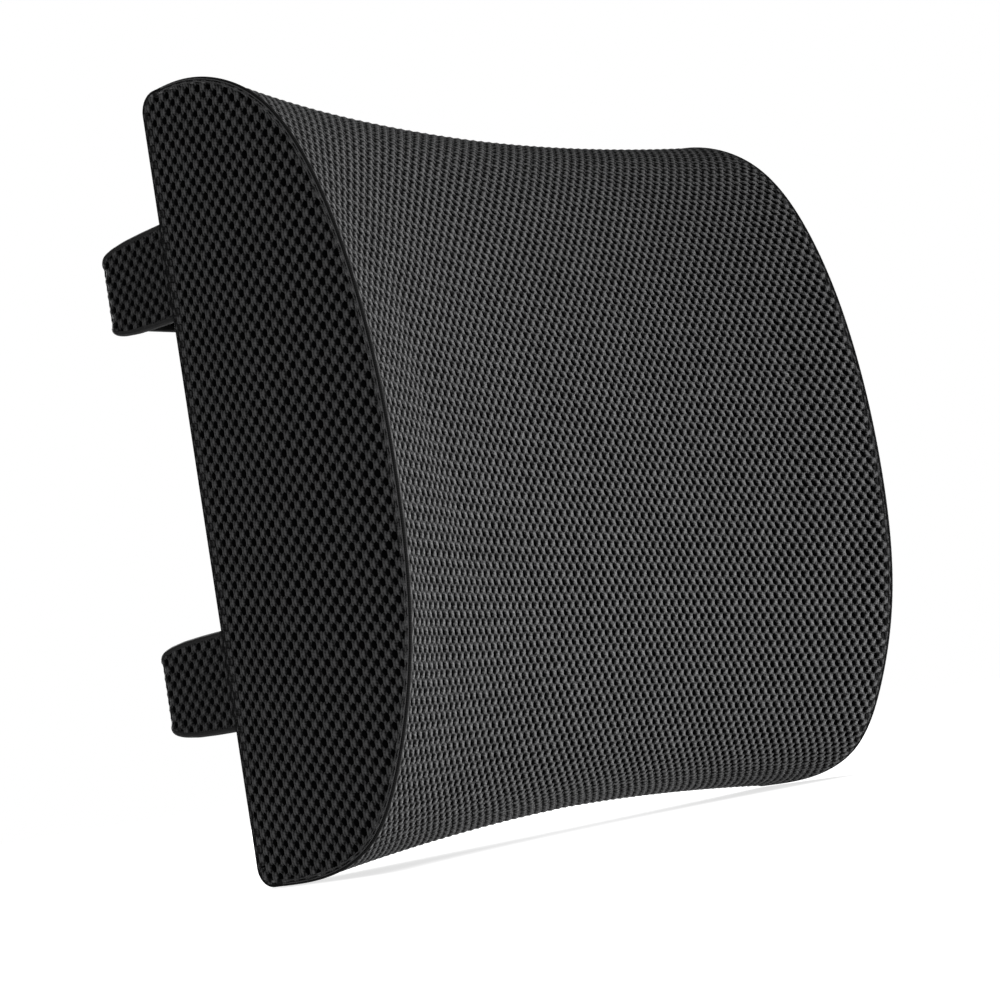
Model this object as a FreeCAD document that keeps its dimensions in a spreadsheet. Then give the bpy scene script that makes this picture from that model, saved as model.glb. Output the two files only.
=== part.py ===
import FreeCAD, Part
import math
import os
import Sketcher

# Lumbar support cushion: a foam core in a zipped spacer-mesh cover, with two straps behind it.
# Millimetres. The origin is the middle of the flat back face, +Z is up and the front faces -Y.

DIMENSIONS = {
    # cushion
    "cushion_width": 340,
    "cushion_height": 333,
    "cushion_depth": 112,
    "centre_recess": 29,
    "top_dip": 8.7,
    "bottom_rise": 9.3,
    "back_edge_radius": 8.5,
    "cover_thickness": 3,
    "liner_thickness": 0.7,
    "layer_gap": 0.3,
    # strap tabs
    "strap_upper_height": 257,
    "strap_lower_height": 85,
    "tab_thickness": 3,
    "tab_root_height": 42,
    "tab_band_height": 28,
    "tab_reach": 44,
    "tab_straight": 20,
    "tab_band_end": 112,
    "tab_sewn_gap": 0.2,
    "tab_bend_radius": 7,
    # webbing
    "webbing_width": 25,
    "webbing_thickness": 1.4,
    "webbing_bend": 2.2,
    "webbing_sewn_end": 134,
    "left_tail_end": 66,
    "right_tail_end": 112,
    "box_stitch_length": 18,
    "box_stitch_height": 19,
    "box_stitch_thickness": 0.4,
    # side-release buckle
    "socket_length": 31,
    "socket_height": 34,
    "socket_thickness": 9.4,
    "cavity_depth": 25,
    "cavity_height": 27,
    "cavity_thickness": 5.8,
    "window_start": 8,
    "window_end": 23,
    "window_thickness": 5.2,
    "bar_width": 3.2,
    "bar_slot_length": 5.8,
    "bar_slot_height": 26.4,
    "bar_fillet": 1,
    "plug_gap": 0.4,
    "plug_length": 8,
    "plug_height": 31,
    "plug_thickness": 8.4,
    "tongue_length": 18,
    "tongue_height": 10.4,
    "tongue_thickness": 2.6,
    "prong_offset": 11.9,
    "prong_width": 2.6,
    "prong_thickness": 4.6,
    "prong_pivot": 1.9,
    "prong_clearance": 0.45,
    "prong_ramp_start": 7.5,
    "prong_ramp_end": 17.5,
    "prong_ramp_rise": 1.3,
    "prong_length": 21,
    # tri-glide
    "glide_position": 84,
    "glide_length": 20,
    "glide_height": 32.2,
    "glide_thickness": 11.2,
    "glide_tunnel_height": 26.2,
    "glide_tunnel_thickness": 7.8,
    "glide_bar": 3.4,
    # zipper
    "zip_height": 34,
    "zip_half_length": 150,
    "zip_tape_width": 4.4,
    "zip_tape_thickness": 0.8,
    "zip_tape_depth": 1.4,
    "zip_gap_half": 7.1,
    "tooth_pitch": 3,
    "tooth_length": 2.2,
    "tooth_width": 1.3,
    "tooth_thickness": 1.8,
    "tooth_centre_gap": 0.5,
    "slider_position": 141,
    "slider_length": 9.5,
    "slider_width": 8,
    "slider_plate": 1,
    "slider_back_depth": 3.05,
    "slider_post": 0.6,
    "pull_axis_height": 2.9,
    "pull_pin_radius": 0.6,
    "pull_running_gap": 0.07,
    "pull_barrel_radius": 1.3,
    "pull_length": 18,
    "pull_width": 4.6,
    "pull_thickness": 1,
}

# Half outline of the cushion's end, from the underside round the front to the top. Each point
# is (distance forward of the back face / depth, height above the base / height).
END_OUTLINE = (
    (0.20, 0.0),
    (0.34, 0.003),
    (0.60, 0.034),
    (0.795, 0.12),
    (0.94, 0.25),
    (1.0, 0.42),
    (0.975, 0.62),
    (0.857, 0.80),
    (0.636, 0.93),
    (0.43, 0.978),
    (0.20, 0.999),
)
EDGE_POWER = 1.76  # how suddenly the top and bottom edges curve towards the ends
RECESS_POWER = 2.4  # how suddenly the hollow front rises towards the ends
SECTION_STATIONS = (-1, -0.88, -0.68, -0.36, 0, 0.36, 0.68, 0.88, 1)

Vector = FreeCAD.Vector
doc = FreeCAD.newDocument("lumbar_cushion")
parts = []


# ---------------------------------------------------------------- driving dimensions

sheet = doc.addObject("Spreadsheet::Sheet", "Dims")
for row, (alias, value) in enumerate(DIMENSIONS.items(), start=1):
    sheet.set(f"A{row}", alias)
    sheet.set(f"B{row}", str(value))
    sheet.setAlias(f"B{row}", alias)
doc.recompute()


def dim(alias):
    return float(sheet.get(alias))


def value_of(expression):
    """Number that an expression in the sheet's aliases has now."""
    probe = doc.addObject("App::FeaturePython", "Probe")
    probe.addProperty("App::PropertyFloat", "Result")
    probe.setExpression("Result", expression)
    doc.recompute([probe])
    result = probe.Result
    doc.removeObject(probe.Name)
    return result


# ---------------------------------------------------------------- helpers

def new_body(label, height=None):
    """Body whose own height above the base is an expression in the sheet's aliases."""
    body = doc.addObject("PartDesign::Body", label)
    body.Label = label
    if height:
        body.setExpression("Placement.Base.z", f"{height} - Dims.cushion_height / 2")
    parts.append(body)
    return body


def new_sketch(body, plane):
    sketch = body.newObject("Sketcher::SketchObject", "Outline")
    origin_plane = [item for item in body.Origin.OriginFeatures if item.Role == plane][0]
    sketch.AttachmentSupport = [(origin_plane, "")]
    sketch.MapMode = "FlatFace"
    return sketch


def pin_point(sketch, geometry, end, corner, numbers):
    for kind, expression, number in zip(("DistanceX", "DistanceY"), corner, numbers):
        index = sketch.addConstraint(Sketcher.Constraint(kind, -1, 1, geometry, end, number))
        sketch.setExpression(f"Constraints[{index}]", expression)


def add_outline(sketch, corners):
    """Closed straight-sided outline; each corner is a pair of expressions."""
    numbers = [(value_of(across), value_of(up)) for across, up in corners]
    points = [Vector(across, up, 0) for across, up in numbers]
    lines = []
    for start, end in zip(points, points[1:] + points[:1]):
        lines.append(sketch.addGeometry(Part.LineSegment(start, end), False))
    for line, following in zip(lines, lines[1:] + lines[:1]):
        sketch.addConstraint(Sketcher.Constraint("Coincident", line, 2, following, 1))
    for line, corner, pair in zip(lines, corners, numbers):
        pin_point(sketch, line, 1, corner, pair)


def rectangle(left, right, bottom, top):
    return ((left, bottom), (right, bottom), (right, top), (left, top))


def add_bent_strip(sketch, bar, far_low, far_high):
    """Flat strip round a bar at X = bar: one layer on each side, ending at far_low and far_high."""
    inner = "Dims.webbing_bend"
    outer = "(Dims.webbing_bend + Dims.webbing_thickness)"
    centre = Vector(value_of(bar), 0, 0)
    towards_right = value_of(far_low) > centre.x
    corners = (
        (far_low, f"-{outer}"), (bar, f"-{outer}"), (bar, outer), (far_high, outer),
        (far_high, inner), (bar, inner), (bar, f"-{inner}"), (far_low, f"-{inner}"),
    )
    numbers = [(value_of(across), value_of(up)) for across, up in corners]
    points = [Vector(across, up, 0) for across, up in numbers]
    bulge = -1 if towards_right else 1
    edges = []
    for index, start in enumerate(points):
        end = points[(index + 1) % len(points)]
        if index in (1, 5):
            middle = centre + Vector(bulge * abs(start.y), 0, 0)
            edges.append(sketch.addGeometry(Part.Arc(start, middle, end), False))
        else:
            edges.append(sketch.addGeometry(Part.LineSegment(start, end), False))

    def start_of(index):
        flipped = isinstance(sketch.Geometry[edges[index]], Part.ArcOfCircle)
        nearest = sketch.getPoint(edges[index], 1).sub(points[index]).Length < 1e-6
        return 1 if nearest or not flipped else 2

    for index, edge in enumerate(edges):
        following = (index + 1) % len(edges)
        leaving = 3 - start_of(index)
        sketch.addConstraint(
            Sketcher.Constraint("Coincident", edge, leaving, edges[following], start_of(following)))
    for index, (corner, pair) in enumerate(zip(corners, numbers)):
        pin_point(sketch, edges[index], start_of(index), corner, pair)
    for edge in (edges[1], edges[5]):
        index = sketch.addConstraint(Sketcher.Constraint("DistanceX", -1, 1, edge, 3, centre.x))
        sketch.setExpression(f"Constraints[{index}]", bar)


def pad(body, sketch, length, midplane=False, backwards=False):
    feature = body.newObject("PartDesign::Pad", "Pad")
    feature.Profile = sketch
    feature.Midplane = midplane
    feature.Reversed = backwards
    feature.setExpression("Length", length)
    doc.recompute()


def pocket(body, sketch, length, midplane=False, backwards=False):
    before = body.Shape.Volume
    feature = body.newObject("PartDesign::Pocket", "Pocket")
    feature.Profile = sketch
    feature.Midplane = midplane
    feature.Reversed = backwards
    feature.setExpression("Length", length)
    doc.recompute()
    if body.Shape.Volume > before - 0.01:
        raise RuntimeError(f"{body.Label}: a pocket cut nothing")


def fillet(body, radius, wanted):
    """Round the edges whose middle and direction satisfy wanted(middle, direction)."""
    base = body.Tip
    names = []
    for index, edge in enumerate(base.Shape.Edges, start=1):
        middle = edge.valueAt((edge.FirstParameter + edge.LastParameter) / 2)
        direction = edge.tangentAt((edge.FirstParameter + edge.LastParameter) / 2)
        if wanted(middle, direction):
            names.append(f"Edge{index}")
    if not names:
        raise RuntimeError(f"{body.Label}: no edge to round")
    feature = body.newObject("PartDesign::Fillet", "Fillet")
    feature.Base = (base, names)
    feature.setExpression("Radius", radius)
    doc.recompute()


def coded_part(label, shape):
    feature = doc.addObject("Part::Feature", label)
    feature.Label = label
    feature.Shape = shape
    feature.Placement = FreeCAD.Placement()
    parts.append(feature)


def box_between(low, high):
    size = [top - bottom for bottom, top in zip(low, high)]
    return Part.makeBox(*size, Vector(*low))


# ---------------------------------------------------------------- cushion and cover

def section_wire(across, inset):
    """Closed outline of the cushion at X = across, drawn in by inset."""
    spread = min(abs(across) / (dim("cushion_width") / 2), 1)
    lift = 1 - spread ** EDGE_POWER
    hollow = 1 - spread ** RECESS_POWER
    base = -dim("cushion_height") / 2
    low = base + dim("bottom_rise") * lift + inset
    high = base + dim("cushion_height") - dim("top_dip") * lift - inset
    edge = dim("back_edge_radius")
    corner = edge - inset
    full = dim("cushion_depth")
    reach = full - dim("centre_recess") * hollow - inset

    def forward(fraction):
        return -edge - (fraction * full - edge) / (full - edge) * (reach - edge)

    points = [Vector(across, -edge, low)]
    points += [Vector(across, forward(f), low + g * (high - low)) for f, g in END_OUTLINE]
    points.append(Vector(across, -edge, high))
    curve = Part.BSplineCurve()
    curve.interpolate(
        Points=points,
        Parameters=OUTLINE_PARAMETERS,
        InitialTangent=Vector(0, -1, 0),
        FinalTangent=Vector(0, 1, 0),
    )
    slant = corner * (1 - math.sqrt(0.5))
    top_arc = Part.Arc(
        points[-1],
        Vector(across, -inset - slant, high - slant),
        Vector(across, -inset, high - corner))
    back_line = Part.LineSegment(
        Vector(across, -inset, high - corner), Vector(across, -inset, low + corner))
    bottom_arc = Part.Arc(
        Vector(across, -inset, low + corner),
        Vector(across, -inset - slant, low + slant),
        points[0])
    return Part.Wire([item.toShape() for item in (curve, top_arc, back_line, bottom_arc)])


def outline_parameters():
    """Parameter of each outline point: its share of the outline's length at the end."""
    depth = dim("cushion_depth")
    height = dim("cushion_height")
    edge = dim("back_edge_radius") / depth
    points = [(edge, 0)] + list(END_OUTLINE) + [(edge, 1)]
    lengths = [0]
    for (f1, g1), (f2, g2) in zip(points, points[1:]):
        lengths.append(lengths[-1] + math.hypot((f2 - f1) * depth, (g2 - g1) * height))
    return [length / lengths[-1] for length in lengths]


def cushion_solid(half_width, inset):
    wires = [section_wire(station * half_width, inset) for station in SECTION_STATIONS]
    return Part.makeLoft(wires, True, False)


OUTLINE_PARAMETERS = outline_parameters()


def edge_height(across, top):
    """Height of the end of the flat back, at its top or bottom edge."""
    lift = 1 - (abs(across) / (dim("cushion_width") / 2)) ** EDGE_POWER
    if top:
        return (dim("cushion_height") / 2 - dim("top_dip") * lift
                - dim("back_edge_radius"))
    return (-dim("cushion_height") / 2 + dim("bottom_rise") * lift
            + dim("back_edge_radius"))


def back_region(low_height, high_height, grow):
    """Flat slab of the back between two heights; None takes the cushion's curved edge."""
    half = dim("cushion_width") / 2 - dim("cover_thickness")
    thickness = dim("cover_thickness")

    def side(height, top):
        if height is None:
            shift = grow if top else -grow
            ends = [Vector(x, 0, edge_height(x, top) + shift) for x in (-half, 0, half)]
            return ends, Part.Arc(*ends).toShape()
        ends = [Vector(x, 0, height) for x in (-half, 0, half)]
        return ends, Part.LineSegment(ends[0], ends[2]).toShape()

    low_ends, low_edge = side(low_height, False)
    high_ends, high_edge = side(high_height, True)
    left = Part.LineSegment(low_ends[0], high_ends[0]).toShape()
    right = Part.LineSegment(low_ends[2], high_ends[2]).toShape()
    face = Part.Face(Part.Wire(Part.__sortEdges__([low_edge, right, high_edge, left])))
    return face.extrude(Vector(0, -thickness, 0))


def make_cushion():
    half = dim("cushion_width") / 2
    cover = dim("cover_thickness")
    gap = dim("layer_gap")
    liner = dim("liner_thickness")
    base = -dim("cushion_height") / 2

    liner_inset = cover + gap
    foam_inset = liner_inset + liner + gap
    coded_part("foam_core", cushion_solid(half - foam_inset, foam_inset))

    liner_outside = cushion_solid(half - liner_inset, liner_inset)
    liner_inside = cushion_solid(half - liner_inset - liner, liner_inset + liner)
    coded_part("inner_liner", liner_outside.cut(liner_inside))

    outside = cushion_solid(half - cover, 0)
    inside = cushion_solid(half - cover + 1, cover)
    wall = outside.cut(inside)
    flat_back = back_region(None, None, gap / 3)
    flat_back.translate(Vector(0, 1, 0))
    flat_back = flat_back.fuse(back_region(None, None, gap / 3)).removeSplitter()
    coded_part("front_panel", wall.cut(flat_back))

    for side, label in ((-1, "left_side_panel"), (1, "right_side_panel")):
        face = Part.Face(section_wire(side * half, 0))
        coded_part(label, face.extrude(Vector(-side * cover, 0, 0)))

    zip_centre = base + dim("zip_height")
    coded_part("back_panel", back_region(zip_centre + dim("zip_gap_half"), None, 0))
    coded_part("back_lower_strip", back_region(None, zip_centre - dim("zip_gap_half"), 0))


# ---------------------------------------------------------------- zipper

def make_zip():
    half_tape = dim("cushion_width") / 2 - dim("cover_thickness")
    centre = dim("zip_height") - dim("cushion_height") / 2
    depth = dim("zip_tape_depth")
    for side, label in ((1, "zip_tape_upper"), (-1, "zip_tape_lower")):
        tape = doc.addObject("Part::Box", label)
        tape.Label = label
        tape.setExpression("Length", "Dims.cushion_width - 2 * Dims.cover_thickness")
        tape.setExpression("Width", "Dims.zip_tape_thickness")
        tape.setExpression("Height", "Dims.zip_tape_width")
        inner = dim("zip_gap_half") - dim("layer_gap") / 3 - dim("zip_tape_width")
        bottom = inner if side > 0 else -inner - dim("zip_tape_width")
        tape.Placement.Base = Vector(-half_tape, -depth, centre + bottom)
        parts.append(tape)

    count = int(2 * dim("zip_half_length") // dim("tooth_pitch"))
    middle = -depth + dim("zip_tape_thickness") / 2
    reach = dim("zip_gap_half") - dim("layer_gap") / 3 - dim("zip_tape_width")
    for side, label in ((1, "zip_teeth_upper"), (-1, "zip_teeth_lower")):
        teeth = []
        for index in range(count):
            across = (index - (count - 1) / 2) * dim("tooth_pitch") + side * dim("tooth_pitch") / 4
            near = dim("tooth_centre_gap")
            far = reach - dim("layer_gap") / 3
            heights = sorted((centre + side * near, centre + side * far))
            teeth.append(box_between(
                (across - dim("tooth_width") / 2, middle - dim("tooth_thickness") / 2, heights[0]),
                (across + dim("tooth_width") / 2, middle + dim("tooth_thickness") / 2, heights[1])))
        coded_part(label, Part.makeCompound(teeth))

    stops = []
    for side in (-1, 1):
        inner = side * (dim("zip_half_length") + 1)
        outer = side * (dim("zip_half_length") + 4)
        stops.append(box_between(
            (min(inner, outer), middle - dim("tooth_thickness") / 2, centre - 1.2),
            (max(inner, outer), middle + dim("tooth_thickness") / 2, centre + 1.2)))
    coded_part("zip_stops", Part.makeCompound(stops))


def make_zip_slider():
    body = new_body("zip_slider", "Dims.zip_height")
    body.setExpression("Placement.Base.x", "-Dims.slider_position")
    half_length = "Dims.slider_length / 2"
    half_width = "Dims.slider_width / 2"
    clear = "0.3"
    shield = (
        (f"-{half_length}", "-Dims.slider_width / 2.7"), ("0", f"-{half_width}"),
        (half_length, f"-{half_width}"), (half_length, half_width),
        ("0", half_width), (f"-{half_length}", "Dims.slider_width / 2.7"),
    )

    def plate(start, end):
        block = new_sketch(body, "XZ_Plane")
        block.setExpression("AttachmentOffset.Base.z", f"-({start})")
        add_outline(block, shield)
        pad(body, block, f"{end} - ({start})", backwards=True)

    plate(clear, f"{clear} + Dims.slider_plate")
    post = new_sketch(body, "XZ_Plane")
    post.setExpression("AttachmentOffset.Base.z", "Dims.slider_back_depth")
    add_outline(post, rectangle("0", half_length, "-Dims.slider_post / 2", "Dims.slider_post / 2"))
    pad(body, post, f"Dims.slider_back_depth + {clear} + Dims.slider_plate / 2", backwards=True)
    plate("-Dims.slider_back_depth", "0.9 - Dims.slider_back_depth")

    ear_low = "(Dims.pull_barrel_radius - 0.1)"
    ear_high = "(Dims.pull_barrel_radius + 0.6)"
    for sign in ("", "-"):
        ear = new_sketch(body, "XY_Plane")
        ear.setExpression("AttachmentOffset.Base.z", f"{sign}({ear_low} + {ear_high}) / 2")
        add_outline(ear, rectangle(
            "-Dims.pull_barrel_radius", "Dims.pull_barrel_radius",
            f"{clear} + Dims.slider_plate / 2", "Dims.pull_axis_height + Dims.pull_pin_radius + 0.4"))
        pad(body, ear, f"{ear_high} - {ear_low}", midplane=True)
    pin = new_sketch(body, "XY_Plane")
    circle = pin.addGeometry(
        Part.Circle(Vector(0, dim("pull_axis_height"), 0), Vector(0, 0, 1), dim("pull_pin_radius")))
    pin_point(pin, circle, 3, ("0", "Dims.pull_axis_height"), (0, dim("pull_axis_height")))
    index = pin.addConstraint(Sketcher.Constraint("Radius", circle, dim("pull_pin_radius")))
    pin.setExpression(f"Constraints[{index}]", "Dims.pull_pin_radius")
    pad(body, pin, f"2 * {ear_high}", midplane=True)


def make_zip_pull():
    body = new_body("zip_pull", "Dims.zip_height")
    body.setExpression("Placement.Base.x", "-Dims.slider_position")
    body.setExpression("Placement.Base.y", "Dims.pull_axis_height")

    def circle_sketch(radius):
        sketch = new_sketch(body, "XY_Plane")
        circle = sketch.addGeometry(
            Part.Circle(Vector(0, 0, 0), Vector(0, 0, 1), value_of(radius)))
        sketch.addConstraint(Sketcher.Constraint("Coincident", circle, 3, -1, 1))
        index = sketch.addConstraint(Sketcher.Constraint("Radius", circle, value_of(radius)))
        sketch.setExpression(f"Constraints[{index}]", radius)
        return sketch

    barrel_height = "2 * (Dims.pull_barrel_radius - 0.3)"
    pad(body, circle_sketch("Dims.pull_barrel_radius"), barrel_height, midplane=True)
    neck = new_sketch(body, "XZ_Plane")
    neck_half = "(Dims.pull_barrel_radius - 0.3)"
    wide = "(Dims.pull_width / 2)"
    add_outline(neck, (
        ("0.9", f"-{neck_half}"), ("2.6", f"-{neck_half}"), ("2.6", f"-{wide}"),
        ("Dims.pull_length", f"-{wide}"), ("Dims.pull_length", wide), ("2.6", wide),
        ("2.6", neck_half), ("0.9", neck_half),
    ))
    pad(body, neck, "Dims.pull_thickness", midplane=True)
    pocket(body, circle_sketch("Dims.pull_pin_radius + Dims.pull_running_gap"),
           "Dims.slider_width", midplane=True)
    far_end = dim("pull_length")
    fillet(body, "1.6", lambda middle, direction:
           abs(direction.y) > 0.9 and abs(middle.x - far_end) < 0.01)


# ---------------------------------------------------------------- straps

BAND_DEPTH = "(Dims.tab_reach + Dims.tab_sewn_gap + Dims.webbing_bend + Dims.webbing_thickness)"
PLUG_BAR = ("(Dims.plug_gap + Dims.plug_length + Dims.bar_slot_length + Dims.bar_width / 2)")
SOCKET_BAR = "(Dims.socket_length + Dims.bar_slot_length + Dims.bar_width / 2)"


def strap_body(label, height, on_band=True):
    body = new_body(label, height)
    if on_band:
        body.setExpression("Placement.Base.y", BAND_DEPTH)
    return body


def make_tab(label, height, side):
    """Mesh tab sewn to the cushion's back edge: straight back, then inwards behind it."""
    body = strap_body(label, height, on_band=False)
    edge = f"{side} * Dims.cushion_width / 2"
    inside = f"{side} * (Dims.cushion_width / 2 - Dims.tab_thickness)"
    end = f"{side} * Dims.tab_band_end"
    path = new_sketch(body, "XY_Plane")
    add_outline(path, (
        (edge, "Dims.tab_sewn_gap"), (edge, "Dims.tab_reach"), (end, "Dims.tab_reach"),
        (end, "Dims.tab_reach - Dims.tab_thickness"),
        (inside, "Dims.tab_reach - Dims.tab_thickness"), (inside, "Dims.tab_sewn_gap"),
    ))
    pad(body, path, "Dims.tab_root_height", midplane=True)
    outer_x = side * dim("cushion_width") / 2
    inner_x = side * (dim("cushion_width") / 2 - dim("tab_thickness"))
    bend = dim("tab_reach")

    def at_corner(x, y):
        return lambda middle, direction: (
            abs(direction.z) > 0.9 and abs(middle.x - x) < 0.01 and abs(middle.y - y) < 0.01)

    fillet(body, "Dims.tab_bend_radius", at_corner(outer_x, bend))
    fillet(body, "Dims.tab_bend_radius - Dims.tab_thickness",
           at_corner(inner_x, bend - dim("tab_thickness")))
    taper = new_sketch(body, "YZ_Plane")
    far = "(Dims.tab_reach + 1)"
    for sign in ("", "-"):
        root = f"{sign}Dims.tab_root_height / 2"
        band = f"{sign}Dims.tab_band_height / 2"
        clear = f"{sign}(Dims.tab_root_height / 2 + 1)"
        add_outline(taper, (
            ("Dims.tab_straight", root), ("Dims.tab_straight", clear), (far, clear),
            (far, band), ("Dims.tab_reach - Dims.tab_bend_radius", band),
        ))
    pocket(body, taper, "Dims.cushion_width + 20", midplane=True)


def make_webbing(label, height, bar, low_end, high_end):
    body = strap_body(label, height)
    path = new_sketch(body, "XY_Plane")
    add_bent_strip(path, bar, low_end, high_end)
    pad(body, path, "Dims.webbing_width", midplane=True)


def make_box_stitches(label, height):
    """Thread of the two box stitches that hold the webbing to the tabs, one each side."""
    centre = height - dim("cushion_height") / 2
    depth = dim("tab_reach") + dim("tab_sewn_gap") + dim("webbing_thickness")
    half = dim("box_stitch_height") / 2
    start = dim("webbing_sewn_end") - 2
    blocks = []
    for side in (-1, 1):
        ends = sorted((side * start, side * (start - dim("box_stitch_length"))))
        blocks.append(box_between(
            (ends[0], depth, centre - half),
            (ends[1], depth + dim("box_stitch_thickness"), centre + half)))
    coded_part(label, Part.makeCompound(blocks))


def add_bar_frame(body, start, height, side):
    """Webbing slot and bar at the end of a buckle half, from X = start outwards."""
    slot_end = f"({side} * ({start} + Dims.bar_slot_length))"
    end = f"({side} * ({start} + Dims.bar_slot_length + Dims.bar_width))"
    root = f"({side} * ({start} - 0.5))"
    ring = new_sketch(body, "XZ_Plane")
    add_outline(ring, rectangle(root, end, f"-{height} / 2", f"{height} / 2"))
    pad(body, ring, "Dims.bar_width", midplane=True)
    slot = new_sketch(body, "XZ_Plane")
    add_outline(slot, rectangle(
        f"{side} * {start}", slot_end, "-Dims.bar_slot_height / 2", "Dims.bar_slot_height / 2"))
    pocket(body, slot, "Dims.bar_width + 0.2", midplane=True)
    bar_low = value_of(slot_end)
    bar_high = value_of(end)
    half_bar = dim("bar_width") / 2
    fillet(body, "Dims.bar_fillet", lambda middle, direction:
           abs(direction.z) > 0.9 and abs(abs(middle.y) - half_bar) < 0.01
           and abs(middle.z) < 1
           and (abs(middle.x - bar_low) < 0.01 or abs(middle.x - bar_high) < 0.01))


def make_socket(label, height):
    """Female half: a flat sleeve with a side window for each prong, mouth at X = 0."""
    body = strap_body(label, height)
    block = new_sketch(body, "YZ_Plane")
    add_outline(block, rectangle(
        "-Dims.socket_thickness / 2", "Dims.socket_thickness / 2",
        "-Dims.socket_height / 2", "Dims.socket_height / 2"))
    pad(body, block, "Dims.socket_length", backwards=True)
    half_thick = dim("socket_thickness") / 2
    half_high = dim("socket_height") / 2
    fillet(body, "2.2", lambda middle, direction:
           abs(direction.x) > 0.9 and abs(abs(middle.y) - half_thick) < 0.01
           and abs(abs(middle.z) - half_high) < 0.01)
    cavity = new_sketch(body, "YZ_Plane")
    add_outline(cavity, rectangle(
        "-Dims.cavity_thickness / 2", "Dims.cavity_thickness / 2",
        "-Dims.cavity_height / 2", "Dims.cavity_height / 2"))
    pocket(body, cavity, "Dims.cavity_depth")
    window = new_sketch(body, "XY_Plane")
    add_outline(window, rectangle(
        "-Dims.window_end", "-Dims.window_start",
        "-Dims.window_thickness / 2", "Dims.window_thickness / 2"))
    pocket(body, window, "Dims.socket_height + 2", midplane=True)
    add_bar_frame(body, "Dims.socket_length", "Dims.socket_height", -1)


def make_plug(label, height):
    """Male half without its prongs: grip block, guide tongue and webbing bar."""
    body = strap_body(label, height)
    block = new_sketch(body, "XZ_Plane")
    add_outline(block, rectangle(
        "Dims.plug_gap", "Dims.plug_gap + Dims.plug_length",
        "-Dims.plug_height / 2", "Dims.plug_height / 2"))
    pad(body, block, "Dims.plug_thickness", midplane=True)
    half_thick = dim("plug_thickness") / 2
    fillet(body, "1.5", lambda middle, direction:
           abs(direction.x) > 0.9 and abs(abs(middle.y) - half_thick) < 0.01)
    tongue = new_sketch(body, "XZ_Plane")
    add_outline(tongue, (
        ("Dims.plug_gap + 1", "-Dims.tongue_height / 2"),
        ("Dims.plug_gap + 1", "Dims.tongue_height / 2"),
        ("4 - Dims.tongue_length", "Dims.tongue_height / 2"),
        ("-Dims.tongue_length", "Dims.tongue_height / 4"),
        ("-Dims.tongue_length", "-Dims.tongue_height / 4"),
        ("4 - Dims.tongue_length", "-Dims.tongue_height / 2"),
    ))
    pad(body, tongue, "Dims.tongue_thickness", midplane=True)
    slots = new_sketch(body, "XZ_Plane")
    slot_half = "(Dims.prong_width / 2 + Dims.prong_clearance)"
    slot_end = "Dims.prong_pivot + Dims.prong_width / 2 + Dims.prong_clearance"
    for sign in ("", "-"):
        middle = f"{sign}Dims.prong_offset"
        add_outline(slots, rectangle(
            "Dims.plug_gap - 1", slot_end, f"{middle} - {slot_half}", f"{middle} + {slot_half}"))
    pocket(body, slots, "Dims.prong_thickness + 2 * Dims.prong_clearance", midplane=True)
    add_bar_frame(body, "(Dims.plug_gap + Dims.plug_length)", "Dims.plug_height", 1)


def make_prong(label, height, side):
    """Springy arm of the plug, with a ramped catch that fills the socket's side window."""
    body = strap_body(label, height)
    inner = f"{side} * (Dims.prong_offset - Dims.prong_width / 2)"
    outer = f"{side} * (Dims.prong_offset + Dims.prong_width / 2)"
    peak = f"{side} * (Dims.prong_offset + Dims.prong_width / 2 + Dims.prong_ramp_rise)"
    root = "Dims.prong_pivot + Dims.prong_width / 2"
    arm = new_sketch(body, "XZ_Plane")
    add_outline(arm, (
        (root, inner), (root, outer),
        ("-Dims.prong_ramp_start", outer), ("-Dims.prong_ramp_end", peak),
        ("2.4 - Dims.prong_length - 1.4", f"{side} * Dims.prong_offset"),
        ("-Dims.prong_length", f"{side} * (Dims.prong_offset - 0.9)"),
        ("2 - Dims.prong_length", inner),
    ))
    pad(body, arm, "Dims.prong_thickness", midplane=True)
    root_x = value_of(root)
    fillet(body, "Dims.prong_width / 2 - 0.05", lambda middle, direction:
           abs(direction.y) > 0.9 and abs(middle.x - root_x) < 0.01)


def make_tri_glide(label, height):
    """Adjuster that both webbing layers run through, under its end bars and over its middle."""
    body = strap_body(label, height)
    body.setExpression("Placement.Base.x", "Dims.glide_position")
    block = new_sketch(body, "XZ_Plane")
    half_length = "Dims.glide_length / 2"
    half_height = "Dims.glide_height / 2"
    add_outline(block, rectangle(
        f"-{half_length}", half_length, f"-{half_height}", half_height))
    pad(body, block, "Dims.glide_thickness", midplane=True)
    half_thick = dim("glide_thickness") / 2
    edge_z = dim("glide_height") / 2
    fillet(body, "1.2", lambda middle, direction:
           abs(direction.x) > 0.9 and abs(abs(middle.y) - half_thick) < 0.01
           and abs(abs(middle.z) - edge_z) < 0.01)
    tunnel = new_sketch(body, "YZ_Plane")
    add_outline(tunnel, rectangle(
        "-Dims.glide_tunnel_thickness / 2", "Dims.glide_tunnel_thickness / 2",
        "-Dims.glide_tunnel_height / 2", "Dims.glide_tunnel_height / 2"))
    pocket(body, tunnel, "Dims.glide_length + 2", midplane=True)
    opening_low = "-Dims.glide_tunnel_height / 2"
    opening_high = "Dims.glide_tunnel_height / 2"
    outside = new_sketch(body, "XZ_Plane")
    add_outline(outside, rectangle(
        f"Dims.glide_bar - {half_length}", f"{half_length} - Dims.glide_bar",
        opening_low, opening_high))
    pocket(body, outside, "Dims.glide_thickness")
    inside = new_sketch(body, "XZ_Plane")
    for ends in ((f"-{half_length} - 1", "-Dims.glide_bar / 2"),
                 ("Dims.glide_bar / 2", f"{half_length} + 1")):
        add_outline(inside, rectangle(*ends, opening_low, opening_high))
    pocket(body, inside, "Dims.glide_thickness", backwards=True)


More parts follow.
